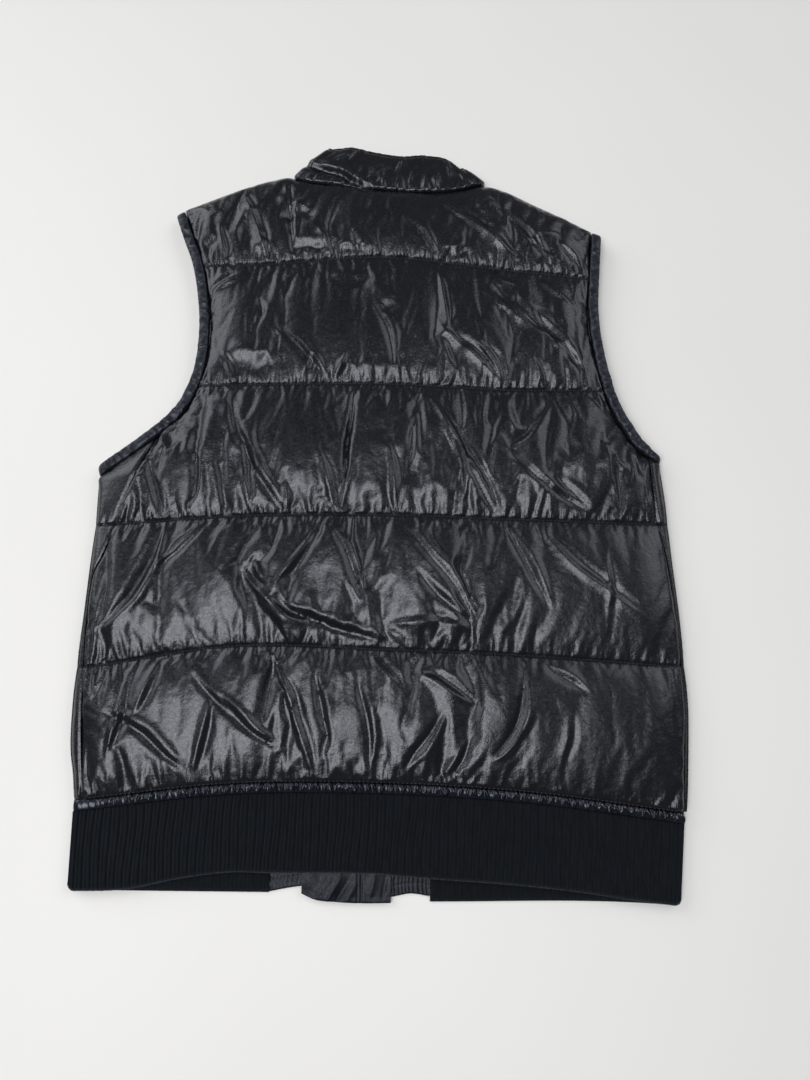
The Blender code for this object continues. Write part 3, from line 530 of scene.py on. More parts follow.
def mesh_piece(name, points, faces, material, smooth_angle=60.0):
    """An object that rides on the vest's one body."""
    mesh = bpy.data.meshes.new(name)
    mesh.from_pydata(place(points).tolist(), [], faces)
    mesh.validate()
    tidy = bmesh.new()
    tidy.from_mesh(mesh)
    bmesh.ops.recalc_face_normals(tidy, faces=tidy.faces)
    tidy.to_mesh(mesh)
    tidy.free()
    mesh.shade_smooth()
    if smooth_angle < 180.0:
        mesh.set_sharp_from_angle(angle=math.radians(smooth_angle))
    mesh.materials.append(material)
    piece = bpy.data.objects.new(name, mesh)
    bpy.context.scene.collection.objects.link(piece)
    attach(piece, "root")
    return piece


def grid_faces(rows, columns, around=False, start=0):
    """Quads over a grid of points, numbered row by row."""
    index = start + np.arange(rows * columns).reshape(rows, columns)
    if around:
        index = np.hstack([index, index[:, :1]])
    quads = np.stack([index[:-1, :-1], index[:-1, 1:], index[1:, 1:], index[1:, :-1]], -1)
    return quads.reshape(-1, 4).tolist()


def wall_faces(upper, lower):
    """Quads between two lines of points, given by their numbers."""
    return np.stack([upper[:-1], upper[1:], lower[1:], lower[:-1]], -1).tolist()


def closed(line):
    """A line of point numbers that comes back to its start."""
    return np.append(line, line[0])


def skirted_piece(name, grid, base, material):
    """A piece under a grid of points, closed by a flat face at a height."""
    rows, columns, _ = grid.shape
    faces = grid_faces(rows, columns)
    index = np.arange(rows * columns).reshape(rows, columns)
    rim = np.concatenate([index[0], index[1:, -1], index[-1, -2::-1], index[-2:0:-1, 0]])
    foot = grid.reshape(-1, 3)[rim].copy()
    foot[:, 2] = base
    points = np.vstack([grid.reshape(-1, 3), foot])
    feet = rows * columns + np.arange(len(rim))
    faces += wall_faces(closed(rim), closed(feet))
    faces.append(feet.tolist())
    return mesh_piece(name, points, faces, material)


def loft_piece(name, rings, material, loop=False, smooth_angle=60.0):
    """A piece through rings of points, as an array of rings by points by xyz; a loop has no ends."""
    rings = np.asarray(rings, float)
    count, around, _ = rings.shape
    faces = grid_faces(count, around, around=True)
    first, last = np.arange(around), (count - 1) * around + np.arange(around)
    if loop:
        faces += wall_faces(closed(last), closed(first))
    else:
        faces += [first.tolist(), last.tolist()]
    return mesh_piece(name, rings.reshape(-1, 3), faces, material, smooth_angle)


# ---------------------------------------------------------------------------------------------------
# Materials.

def feed(tree, node, **inputs):
    """Sets a node's inputs, or links those that are given a socket; Coat_Weight stands for Coat Weight."""
    for name, value in inputs.items():
        socket = node.inputs[name.replace("_", " ")]
        if isinstance(value, bpy.types.NodeSocket):
            tree.links.new(value, socket)
        else:
            socket.default_value = value


def add_node(tree, kind, output, **inputs):
    """The output of a new node whose inputs are fed."""
    node = tree.nodes.new(kind)
    feed(tree, node, **inputs)
    return node.outputs[output]


def new_material(name):
    """A material, its nodes, its shader and the object's own coordinates."""
    made = bpy.data.materials.new(name)
    made.use_nodes = True
    tree = made.node_tree
    return made, tree, tree.nodes["Principled BSDF"], add_node(tree, "ShaderNodeTexCoord", "Object")


def noise(tree, coords, scale, detail=3.0, roughness=0.5, stretch=None, distortion=0.0, ridged=False):
    """A noise texture over the coordinates, in cycles a metre."""
    if stretch:
        coords = add_node(tree, "ShaderNodeMapping", "Vector", Scale=stretch, Vector=coords)
    node = tree.nodes.new("ShaderNodeTexNoise")
    node.noise_type = "RIDGED_MULTIFRACTAL" if ridged else "FBM"
    feed(tree, node, Scale=scale, Detail=detail, Roughness=roughness, Distortion=distortion, Vector=coords)
    return node.outputs["Fac"]


def blend_values(tree, source, low, high, from_low=0.3, from_high=0.7):
    """A value spread over a range."""
    return add_node(tree, "ShaderNodeMapRange", "Result", From_Min=from_low, From_Max=from_high,
                    To_Min=low, To_Max=high, Value=source)


def colour_between(tree, source, low, high, from_low=0.3, from_high=0.7):
    """A colour between two, given in linear light."""
    node = tree.nodes.new("ShaderNodeValToRGB")
    for element, position, colour in zip(node.color_ramp.elements, (from_low, from_high), (low, high)):
        element.position = position
        element.color = (*colour, 1.0)
    feed(tree, node, Fac=source)
    return node.outputs["Color"]


def combine(tree, operation, first, second):
    """Two values added or multiplied."""
    node = tree.nodes.new("ShaderNodeMath")
    node.operation = operation
    tree.links.new(first, node.inputs[0])
    tree.links.new(second, node.inputs[1])
    return node.outputs["Value"]


def bump(tree, source, distance, strength=1.0, **under):
    """Fine relief, its distance in metres, laid over another bump's Normal if that is given."""
    return add_node(tree, "ShaderNodeBump", "Normal", Strength=strength, Distance=distance,
                    Height=source, **under)


def glossy_nylon():
    """The shell's cloth: finely crinkled, with small pleats where it is marked as gathered."""
    made, tree, shader, coords = new_material("glossy_nylon")
    attribute = tree.nodes.new("ShaderNodeAttribute")
    attribute.attribute_name = "gathered"
    gathered = attribute.outputs["Fac"]
    mottle = noise(tree, coords, 26.0, 4.0, 0.6)
    grain = blend_values(tree, noise(tree, coords, 420.0, 3.0, 0.6), 0.20, 0.34)
    line = blend_values(tree, gathered, 0.0, 0.7, 0.80, 0.97)
    upright = noise(tree, coords, 100.0, 2.0, stretch=(3.4, 0.55, 1.0))
    weave = bump(tree, noise(tree, coords, 950.0, 2.0), 0.00016)
    crinkle = bump(tree, noise(tree, coords, 150.0, 4.0, 0.6), 0.0009, 0.6, Normal=weave)
    pleats = bump(tree, combine(tree, "MULTIPLY", gathered, upright), 0.0024, 0.85, Normal=crinkle)
    creased = noise(tree, coords, 60.0, distortion=0.4, ridged=True)
    colour = colour_between(tree, mottle, (0.003, 0.003, 0.0046), (0.0055, 0.0055, 0.008))
    feed(tree, shader, Base_Color=colour, Roughness=combine(tree, "ADD", grain, line),
         Specular_IOR_Level=0.52, Specular_Tint=(0.86, 0.89, 1.0, 1.0), Coat_Weight=0.12, Coat_Roughness=0.16,
         Normal=bump(tree, creased, 0.0008, 0.45, Normal=pleats))
    return made


def trim_nylon(name, low, high, roughness, specular, grain_height):
    """The cloth of the bindings, the gathered strip, the flap and the rib's ends."""
    made, tree, shader, coords = new_material(name)
    mottle = noise(tree, coords, 160.0, 4.0, 0.6)
    grain = noise(tree, coords, 600.0)
    crinkle = noise(tree, coords, 320.0, 4.0, 0.6)
    feed(tree, shader, Base_Color=colour_between(tree, mottle, low, high),
         Roughness=blend_values(tree, grain, roughness - 0.08, roughness + 0.1),
         Specular_IOR_Level=specular, Specular_Tint=(0.80, 0.87, 1.0, 1.0),
         Normal=bump(tree, crinkle, grain_height, 0.6))
    return made


def rib_knit(name, low, high):
    """Dull fuzzy knit, with its loops in rows."""
    made, tree, shader, coords = new_material(name)
    mottle = noise(tree, coords, 420.0, 5.0, 0.65, stretch=(1.0, 0.16, 1.0))
    loops = noise(tree, coords, 520.0, 2.0, stretch=(1.0, 1.6, 1.0))
    fuzz = bump(tree, noise(tree, coords, 1600.0, 3.0, 0.7), 0.0003, 0.6)
    feed(tree, shader, Base_Color=colour_between(tree, mottle, low, high), Roughness=0.96,
         Specular_IOR_Level=0.2, Sheen_Weight=0.07, Sheen_Roughness=0.5, Sheen_Tint=(0.55, 0.65, 0.8, 1.0),
         Normal=bump(tree, loops, 0.0006, 0.7, Normal=fuzz))
    return made


def grained(name, low, high, roughness, mottle_scale, grain_scale, detail, grain_height, strength):
    """A plain material with mottled colour and a fine grain."""
    made, tree, shader, coords = new_material(name)
    mottle = noise(tree, coords, mottle_scale, detail)
    grain = noise(tree, coords, grain_scale, detail)
    feed(tree, shader, Base_Color=colour_between(tree, mottle, low, high), Roughness=roughness,
         Normal=bump(tree, grain, grain_height, strength))
    return made


SHELL = glossy_nylon()
TRIM = trim_nylon("gathered_nylon", (0.0022, 0.0028, 0.0052), (0.0065, 0.0078, 0.0125),
                  roughness=0.24, specular=0.5, grain_height=0.0002)
FLAP = trim_nylon("flap_nylon", (0.0012, 0.0018, 0.0034), (0.0045, 0.0055, 0.0085),
                  roughness=0.44, specular=0.26, grain_height=0.0004)
BINDING = trim_nylon("binding_nylon", (0.005, 0.006, 0.0095), (0.021, 0.0235, 0.031),
                     roughness=0.33, specular=0.34, grain_height=0.0006)
KNIT = rib_knit("rib_knit", (0.0012, 0.0022, 0.0038), (0.0042, 0.0066, 0.0098))
# The pale knit of the band's fold edge: partly its fuzz, partly a painted highlight along the fold.
FUZZ_AND_HIGHLIGHT = rib_knit("rib_fuzz_and_highlight", (0.012, 0.016, 0.022), (0.040, 0.048, 0.060))
THREAD = grained("thread", (0.004, 0.004, 0.005), (0.012, 0.012, 0.014), roughness=0.6,
                 mottle_scale=1400.0, grain_scale=1400.0, detail=2.0, grain_height=0.0002, strength=0.6)
PLASTIC = grained("zip_plastic", (0.01, 0.01, 0.011), (0.02, 0.02, 0.022), roughness=0.4,
                  mottle_scale=300.0, grain_scale=700.0, detail=3.0, grain_height=0.0003, strength=0.5)

# ---------------------------------------------------------------------------------------------------
# Back.

CHANNEL_ROWS = (60, 60, 66, 66, 46)  # spaces between rows in each channel, from the hem up
COLUMNS = 300
CHANNEL_HEIGHT = 125.0
ROW_SPACING = (0.5, 1.9)  # at a stitch line, and how much wider it is along a channel's middle
ROW_CROWDING = 4.0  # how far from a stitch line the rows lie closer
SIM_ROWS = (46, 46, 50, 50, 36)  # the same for the settling cloth, whose rows are evenly spaced
SIM_COLUMNS = 200
BACK_PUCKERS, FRONT_PUCKERS = 11, 23  # seeds
FAR = 1000.0
BACK_LEAST = BACK_BASE + 0.8  # the back's upper face and the fronts' lips stay at least this high
QUILT_GROOVE = (1.1, 1.1)  # depth, width
SIDE_GROOVE = (1.0, 1.6)
GATHERED_REACH = 5.5
GATHERED_BELOW = 2.2  # how much sooner the gathers end below a stitch line than above it


def channel_rows(counts, spaced):
    """Channel number and share of each row; spaced turns evenly spaced shares into the rows' own."""
    number, share = [], []
    for channel, rows in enumerate(counts):
        number += [channel] * rows
        share += list(spaced(np.arange(rows) / rows))
    return np.array(number + [len(counts) - 1]), np.array(share + [1.0])


def crowded(even):
    """Shares that crowd towards the stitch lines."""
    at = np.linspace(0.0, 1.0, 800)
    near = np.minimum(at, 1.0 - at) * CHANNEL_HEIGHT
    density = 1.0 / (ROW_SPACING[0] + ROW_SPACING[1] * (1.0 - np.exp(-near / ROW_CROWDING)))
    reach = np.concatenate([[0.0], np.cumsum((density[1:] + density[:-1]) / 2.0)])
    return np.interp(even, reach / reach[-1], at)


def body_rows():
    """The fine grids' rows."""
    return channel_rows(CHANNEL_ROWS, crowded)


def fine_columns():
    """The places of the back's fine columns across it, crowding a little towards its sides."""
    t = np.linspace(0.0, 1.0, COLUMNS + 1)
    return 0.85 * t + 0.15 * (1.0 - np.cos(math.pi * t)) / 2.0


def back_plan(number, share, across):
    """Plan points of a grid over the back, with each point's channel and share."""
    left = row_ends("left", number, share, seam_x) + GAP / 2
    right = row_ends("right", number, share, seam_x) - GAP / 2
    x = left[:, None] + across[None] * (right - left)[:, None]
    number = np.broadcast_to(number[:, None], x.shape)
    share = np.broadcast_to(share[:, None], x.shape)
    return x, row_y(number, share, x), number, share


def stitch_distance(x, y):
    """How far a point is from the nearest stitch line."""
    near = np.full(np.shape(x), FAR)
    for name in LINES[:-1]:
        near = np.minimum(near, np.abs(y - cross_y(name, x)))
    return near


def seam_groove(distance, depth, width):
    """How far the face is drawn in at a distance from a seam, as a height below 0."""
    return -depth * np.exp(-(distance / width) ** 2)


FULLNESS_ACROSS = 0.060  # how much wider and longer the cloth is cut than its place
FULLNESS_UP = 0.015
CUT_WANDER = 0.7  # how far the cut wanders in the plane, so that the folds run every way
SETTLE_FRAMES = 22
GATHERED_BY = 10  # the frame by which the held points are in place
SIM_BENDING = 0.15
SIM_PRESSURE = 8.0
SIM_STARTS = np.cumsum([0, *SIM_ROWS])  # the rows on the stitch lines and the top edge, which are held
SWELL_REACH = 14.0  # spaces between columns
SWELL_TAKEN = 0.85
MOVE_CAP = 6.0


def settle(points, cut, held, frames):
    """Gathers a grid of cloth from its cut to its place, so that it settles into folds."""
    rows, columns, _ = points.shape
    mesh = bpy.data.meshes.new("settling")
    mesh.from_pydata((cut.reshape(-1, 3) * MM).tolist(), [], grid_faces(rows, columns))
    cloth = bpy.data.objects.new("settling", mesh)
    bpy.context.scene.collection.objects.link(cloth)
    group = cloth.vertex_groups.new(name="held")
    group.add(np.flatnonzero(held.ravel()).tolist(), 1.0, "REPLACE")
    cloth.shape_key_add(name="cut")
    placed = cloth.shape_key_add(name="placed")
    placed.data.foreach_set("co", (points.reshape(-1, 3) * MM).ravel())
    for value, frame_number in ((0.0, 1), (1.0, GATHERED_BY)):
        placed.value = value
        placed.keyframe_insert("value", frame=frame_number)
    modifier = cloth.modifiers.new("settle", "CLOTH")
    modifier.point_cache.frame_start = 1
    modifier.point_cache.frame_end = frames
    how = modifier.settings
    how.quality = 4
    how.mass = 0.15
    how.air_damping = 3.0
    how.tension_stiffness = 20.0
    how.compression_stiffness = 20.0
    how.shear_stiffness = 4.0
    how.bending_stiffness = SIM_BENDING
    how.bending_damping = 0.5
    how.vertex_group_mass = "held"
    how.use_pressure = True
    how.uniform_pressure_force = SIM_PRESSURE
    how.effector_weights.gravity = 0.0
    modifier.collision_settings.use_collision = False
    modifier.collision_settings.use_self_collision = False
    for frame_number in range(1, frames + 1):
        bpy.context.scene.frame_set(frame_number)
    settled = cloth.evaluated_get(bpy.context.evaluated_depsgraph_get())
    moved = np.empty(rows * columns * 3)
    settled.data.vertices.foreach_get("co", moved)
    bpy.data.objects.remove(cloth)
    bpy.context.scene.frame_set(1)
    return moved.reshape(rows, columns, 3) / MM


def cut_cloth(points, x, y):
    """The cloth as cut: larger than its place by its fullness, unevenly."""
    across = x * (1.0 + FULLNESS_ACROSS) + CUT_WANDER * soft_noise(x, y, 120.0, 3)
    up = y * (1.0 + FULLNESS_UP) + CUT_WANDER * soft_noise(x, y, 105.0, 61)
    return np.stack([across, up, points[..., 2]], -1)


def smoothing(count, reach):
    """Weights that average a row of values over a reach, given in spaces between them."""
    at = np.arange(count)
    weights = np.exp(-0.5 * ((at[:, None] - at[None]) / reach) ** 2)
    return weights / weights.sum(axis=1, keepdims=True)


def without_swell(lift):
    """Leaves the folds of the settled cloth and takes away each channel's broad swell."""
    across = smoothing(lift.shape[1], SWELL_REACH)
    level = lift.copy()
    for first, last in zip(SIM_STARTS, SIM_STARTS[1:]):
        swell = lift[first:last + 1] @ across.T
        level[first:last + 1] -= SWELL_TAKEN * swell
    return level


def cubic_weights(at, knots):
    """Weights that read a row of knot values smoothly between them, one row for each place."""
    k = np.clip(np.searchsorted(knots, at, side="right") - 1, 0, len(knots) - 2)
    t = (at - knots[k]) / (knots[k + 1] - knots[k])
    weights = np.zeros((len(at), len(knots)))
    shares = (-0.5 * t + t ** 2 - 0.5 * t ** 3, 1.0 - 2.5 * t ** 2 + 1.5 * t ** 3,
              0.5 * t + 2.0 * t ** 2 - 1.5 * t ** 3, -0.5 * t ** 2 + 0.5 * t ** 3)
    for step, share in zip((-1, 0, 1, 2), shares):
        np.add.at(weights, (np.arange(len(at)), np.clip(k + step, 0, len(knots) - 1)), share)
    return weights


def settled_moves():
    """How far the cloth's points move as it settles, on the fine grid."""
    even = np.linspace(0.0, 1.0, SIM_COLUMNS + 1)
    x, y, number, share = back_plan(*channel_rows(SIM_ROWS, np.array), even)
    base = base_height(x, y, number, share)
    height = base + 0.5 * puckers(x, y, BACK_PUCKERS)
    height += (1.5 * soft_noise(x, y, 80.0, 8) + 0.5 * soft_noise(x, y, 28.0, 5)) * puff(share)
    points = np.stack([x, y, height], -1)
    held = np.zeros(x.shape, bool)
    held[SIM_STARTS] = True
    held[:, (0, -1)] = True
    moved = settle(points, cut_cloth(points, x, y), held, SETTLE_FRAMES)
    moves = moved - np.stack([x, y, base], -1)
    moves[..., 2] = without_swell(moves[..., 2])
    moves *= liveliness(x, y)[..., None]
    fine_number, fine_share = body_rows()
    columns = cubic_weights(fine_columns(), even)
    fine = []
    for channel, rows in enumerate(SIM_ROWS):
        at = fine_share[fine_number == channel]
        channel_moves = moves[SIM_STARTS[channel]:SIM_STARTS[channel + 1] + 1]
        weights = cubic_weights(at, np.linspace(0.0, 1.0, rows + 1))
        fine.append(np.einsum("rs,scx,fc->rfx", weights, channel_moves, columns))
    return np.concatenate(fine)


def back_heights(x, y, number, share):
    """The back's upper face before its cloth settles."""
    height = base_height(x, y, number, share) + puckers(x, y, BACK_PUCKERS)
    height += seam_groove(stitch_distance(x, y), *QUILT_GROOVE)
    for side in SIDES:
        seam = seam_x(side, y, share)
        height += seam_groove((x - seam) * INWARD[side], *SIDE_GROOVE)
    return np.maximum(height, BACK_LEAST)


def mark_gathers(piece, points):
    """Marks how strongly the fine gathers of the stitch lines show at a piece's first points."""
    near = np.full(points.shape[:2], FAR)
    for name in LINES[:-1]:
        away = points[..., 1] - cross_y(name, points[..., 0])
        near = np.minimum(near, np.where(away > 0.0, away, -GATHERED_BELOW * away))
    shown = np.zeros(len(piece.data.vertices))
    shown[:near.size] = np.exp(-near / GATHERED_REACH).ravel()
    piece.data.attributes.new("gathered", "FLOAT", "POINT").data.foreach_set("value", shown)


x, y, number, share = back_plan(*body_rows(), fine_columns())
back_points = np.stack([x, y, back_heights(x, y, number, share)], -1)
moves = settled_moves()
moves[..., 2] = MOVE_CAP * np.tanh(moves[..., 2] / MOVE_CAP)
back_points += moves
back_points[..., 2] = np.maximum(back_points[..., 2], BACK_LEAST)
back = skirted_piece("back_shell", back_points, BACK_BASE, SHELL)
mark_gathers(back, back_points)
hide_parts("back_panel")

# ---------------------------------------------------------------------------------------------------
# Fronts: what shows is the strip that comes up round each side edge to the side seam.

# How a front's edge runs up from the floor: (distance in from the edge, height), plain at the armhole, and
# for the lower half of the fold at the side.
EDGE_ROUND = ((1.4, 0.0), (0.4, 1.4), (0.0, 4.0), (0.0, 5.8), (0.05, 7.0), (0.1, 7.7), (2.4, 8.0))
FOLD_BELOW = ((5.0, 0.0), (2.6, 0.9), (1.0, 2.4), (0.2, 3.9), (0.0, FOLD_MIDDLE))
LIP_COLUMNS = 22
LIP_CROWDING = 1.3
PLAIN_STEP = 6  # above the lip, where little shows, one row in this many is kept


def flap_edge(side):
    """Where a front's level part steps down to lie under the flap."""
    return FLAP_EDGE[side] - INWARD[side] * GAP


def front_points(side):
    """Rows of points over a front, from under its side edge, up round it, and across to the zip."""
    inward = INWARD[side]
    number, share = body_rows()
    keep = (number < 4) | (share == 0.0)
    number, share = number[keep], share[keep]
    edge = row_ends(side, number, share, front_edge_x)
    edge_y = row_y(number, share, edge)
    seam = row_ends(side, number, share, seam_x) - inward * GAP / 2
    lip = edge_y < SEAM_END[side] - 0.5
    thin = np.ones(len(lip), bool)
    above = np.flatnonzero(~lip)
    thin[above[1:-1]] = np.arange(len(above) - 2) % PLAIN_STEP == PLAIN_STEP - 1
    number, share, edge, seam, lip = (row[thin] for row in (number, share, edge, seam, lip))
    rows = len(edge)
    flap = flap_edge(side)

    # Columns: the fold's lower half, the lip that lies beside the back, then the level part under the back.
    xs, zs = [], []
    plain_in, plain_up = zip(*EDGE_ROUND)
    steps = len(FOLD_BELOW) + LIP_COLUMNS
    for k in range(steps):
        t = k / (steps - 1) * (len(EDGE_ROUND) - 1)
        plain_x = edge + inward * np.interp(t, range(len(EDGE_ROUND)), plain_in)
        plain_z = np.full(rows, np.interp(t, range(len(EDGE_ROUND)), plain_up))
        if k < len(FOLD_BELOW):
            lip_x = edge + inward * FOLD_BELOW[k][0]
            lip_z = np.full(rows, FOLD_BELOW[k][1])
        else:
            across = ((k - len(FOLD_BELOW) + 1) / LIP_COLUMNS) ** LIP_CROWDING
            lip_x = edge + across * (seam - edge)
            lip_y = row_y(number, share, lip_x)
            lip_z = base_height(lip_x, lip_y, number, share) + puckers(lip_x, lip_y, FRONT_PUCKERS)
            lip_z += seam_groove(stitch_distance(lip_x, lip_y), *QUILT_GROOVE)
            lip_z += seam_groove(np.abs(lip_x - seam), *SIDE_GROOVE)
            lip_z = np.maximum(lip_z, BACK_LEAST)
        xs.append(np.where(lip, lip_x, plain_x))
        zs.append(np.where(lip, lip_z, plain_z))
    start = np.where(lip, seam, edge + inward * EDGE_ROUND[-1][0])
    for across in (0.0, 0.22, 0.42, 0.6, 0.74, 0.85, 0.94, 1.0):
        nudge = 0.05 if across == 0.0 else 0.0
        xs.append(start + inward * nudge + across * (flap - inward - start))
        zs.append(np.full(rows, FRONT_THICK))
    for at in (flap, 0.5 * (flap + FRONT_MIDDLE[side]), FRONT_MIDDLE[side]):
        xs.append(np.full(rows, at))
        zs.append(np.full(rows, FRONT_MIDDLE_THICK))
    x = np.stack(xs, 1)
    y = row_y(np.broadcast_to(number[:, None], x.shape), share[:, None], x)
    grid = np.stack([x, y, np.stack(zs, 1)], -1)

    # The shoulder and neckline.
    tip = row_ends(side, np.array([4]), np.array([1.0]), edge_x)[0]
    neck = NECK_LEFT - 3.5 if side == "left" else NECK_RIGHT + 3.5
    middle = FRONT_MIDDLE[side]
    ends_x = list(tip + inward * np.linspace(1.4, 0.05, steps))
    ends_x += list(tip + np.array([0.02, 0.35, 0.7, 1.0]) * (neck - tip))
    ends_y = list(cross_y("top", np.array(ends_x)))
    neck_y = ends_y[-1]
    stops = [flap + t * (neck - flap) for t in (0.95, 0.75, 0.4)]
    stops += [flap - inward, flap, 0.5 * (flap + middle), middle]
    for at in stops:
        across = (at - middle) / (neck - middle)
        ends_x.append(at)
        ends_y.append(FRONT_NECK_Y + (neck_y - FRONT_NECK_Y) * (1.0 - math.sqrt(1.0 - across * across)))
    top = np.stack([ends_x, ends_y, grid[-1, :, 2]], -1)
    extra = [grid[-1] + t * (top - grid[-1]) for t in (0.35, 0.7, 1.0)]
    return np.concatenate([grid, np.stack(extra)]), steps


def front_piece(side):
    """A front; its upper face's grid is returned for the pieces that join it."""
    grid, seam = front_points(side)
    rows, columns, _ = grid.shape
    faces = grid_faces(rows, columns)
    index = np.arange(rows * columns).reshape(rows, columns)
    rim = np.concatenate([index[0, seam:], index[1:, -1], index[-1, -2:seam - 1:-1]])
    foot = grid.reshape(-1, 3)[rim].copy()
    foot[:, 2] = 0.0
    feet = rows * columns + np.arange(len(rim))
    faces += wall_faces(rim, feet)
    faces.append([*index[0, :seam + 1].tolist(), int(feet[0])])
    faces.append([*index[-1, :seam + 1].tolist(), int(feet[-1])])
    faces.append([*index[:, 0].tolist(), *feet[::-1].tolist()])
    piece = mesh_piece(f"front_shell_{side}", np.vstack([grid.reshape(-1, 3), foot]), faces, SHELL)
    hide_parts(f"front_{side}")
    return grid


front_grids = {side: front_piece(side) for side in SIDES}

# ---------------------------------------------------------------------------------------------------
# Armhole bindings.

GATHER_SECTIONS = 420
FRONT_SECTIONS = 60
TURNS = np.linspace(15.0, 165.0, 9)  # how far the binding has turned at each section round an end, degrees
BINDING_RING = 18
RING_TURN = 0.17
RING_SQUARENESS = (0.5, 0.62)  # across and up; 1 would be an ellipse
BINDING_SEED = {"left": 31, "right": 37}
BINDING_REACH = 6.0
UNDERARM_SHEAR = {"left": -0.55, "right": -0.40}  # how far a binding's end is cut at a slant
UNDERARM_TAPER = {"left": 0.0, "right": 0.35}
TAPER_REACH = 16.0
SHOULDER_SHEAR = 0.38
SHEAR_REACH = 12.0


def along(points, distance):
    """Places and directions at distances along a line of plan points, and the line's length."""
    points = np.asarray(points)
    reach = np.concatenate([[0.0], np.cumsum(np.hypot(*np.diff(points, axis=0).T))])

    def at(where):
        return np.stack([np.interp(where, reach, points[:, k]) for k in (0, 1)], -1)

    distance = np.asarray(distance, float)
    after = np.minimum(distance + BINDING_REACH, reach[-1])
    before = np.maximum(distance - BINDING_REACH, 0.0)
    ahead = at(after) - at(before)
    return at(distance), ahead / np.linalg.norm(ahead, axis=-1, keepdims=True), reach[-1]


def binding_ring():
    """A ring of points round the binding, as distances across it and up from its middle."""
    angles = np.linspace(0.0, 2.0 * math.pi, BINDING_RING, endpoint=False) + RING_TURN
    ways = np.cos(angles), np.sin(angles)
    sizes = BINDING_WIDTH, BINDING_THICK
    return [np.sign(way) * np.abs(way) ** squareness * size / 2
            for way, squareness, size in zip(ways, RING_SQUARENESS, sizes)]


def binding_piece(side):
    """One closed tube: along the back's armhole, round under the arm, and back along the front's."""
    turned = INWARD[side]
    number, share = body_rows()
    x = row_ends(side, number, share, edge_x)
    y = row_y(number, share, x)
    keep = y >= UNDERARM[side] - 0.5
    back_line = np.stack([x[keep], y[keep]], -1)[::-1]
    edge = front_grids[side][:, 4, :2]
    front_line = edge[edge[:, 1] >= UNDERARM[side] - 0.5][::-1]
    high, low = BACK_BASE + BINDING_THICK / 2, BINDING_THICK / 2
    turn = (high - low) / 2
    trim = turn + BINDING_THICK / 2
    middle_z = (high + low) / 2
    pick = np.random.default_rng(BINDING_SEED[side])
    ring_a, ring_b = binding_ring()
    rings = []

    def add(line, distance, sign, turned_by, clearance, lift):
        """Adds a ring at a distance along a line, turned over as the tube turns at its ends."""
        place_at, ahead, reach = along(line, distance)
        shear = UNDERARM_SHEAR[side] * math.exp(-((reach - distance) / SHEAR_REACH) ** 2)
        shear += SHOULDER_SHEAR * math.exp(-(distance / SHEAR_REACH) ** 2)
        slim = 1.0 - UNDERARM_TAPER[side] * math.exp(-((reach - distance) / TAPER_REACH) ** 2)
        side_way = np.array([ahead[1] * turned, -ahead[0] * turned, 0.0])
        angle = math.radians(turned_by)
        forward = sign * np.array([*ahead, 0.0])
        middle = np.array([*place_at, middle_z]) + forward * turn * math.sin(angle)
        middle[2] += turn * math.cos(angle)
        out_way = forward * math.sin(angle) + np.array([0.0, 0.0, math.cos(angle)])
        middle = middle + side_way * (clearance + slim * BINDING_WIDTH / 2)
        b = ring_b + np.where(ring_b > 0.0, lift * (ring_b / (BINDING_THICK / 2)), 0.0)
        out_side = clearance + slim * (ring_a + BINDING_WIDTH / 2)
        slid = (shear * out_side)[:, None] * np.array([*ahead, 0.0])
        rings.append(middle + slim * ring_a[:, None] * side_way + b[:, None] * out_way + slid)

    back_end = along(back_line, 0.0)[2] - trim
    front_end = along(front_line, 0.0)[2] - trim
    stations = np.linspace(trim, back_end, GATHER_SECTIONS)
    lift = np.zeros((GATHER_SECTIONS, BINDING_RING))
    at = trim
    while at < back_end:
        at += pick.uniform(2.0, 6.0)
        width, slant = pick.uniform(1.2, 2.8), pick.normal(0.0, 0.6)
        rise = pick.uniform(0.5, 1.3) * pick.choice([1.0, -1.0])
        off = stations[:, None] - at - slant * ring_a[None]
        lift += rise * np.exp(-np.abs(off / width) ** 1.6)
    for k, distance in enumerate(stations):
        add(back_line, distance, 1.0, 0.0, GAP, lift[k])
    for turned_by in TURNS:
        add(back_line, back_end, 1.0, turned_by, GAP, 0.0)
    for distance in np.linspace(front_end, trim, FRONT_SECTIONS):
        add(front_line, distance, 1.0, 180.0, 2 * GAP, 0.0)
    for turned_by in TURNS[::-1]:
        add(back_line, trim, -1.0, turned_by, GAP, 0.0)
    piece = loft_piece(f"armhole_binding_{side}", rings, BINDING, loop=True, smooth_angle=180.0)
    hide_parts(f"binding_{side}")


for side in SIDES:
    binding_piece(side)

# ---------------------------------------------------------------------------------------------------
# Hem: gathered strip and ribs.


def hem_line(x):
    """How far up the plan the hem seam lies."""
    return cross_y("hem_seam", x)


def gathers(x, across, seed, pitch, rise):
    """Crossing ridges of a gathered strip; across runs from 0 at its upper edge to 1 at its lower one."""
    pick = np.random.default_rng(seed)
    added = np.zeros(np.shape(x))
    at, way = float(np.min(x)) - 5.0, 1.0
    while at < float(np.max(x)) + 5.0:
        at += pick.uniform(0.6, 1.4) * pitch
        way = -way
        width, slant = pick.uniform(0.22, 0.36) * pitch, way * pick.uniform(1.0, 5.0)
        high = pick.uniform(0.4, 1.0) * rise
        centre, reach = pick.uniform(0.3, 0.7), pick.uniform(0.4, 0.8)
        window = np.abs(x - at) < 4.0 * width + 5.0
        off = x[window] - at - slant * (across[window] - 0.5)
        fade = np.exp(-((across[window] - centre) / reach) ** 2)
        added[window] += high * fade * np.exp(-np.abs(off / width) ** 1.5)
    return added


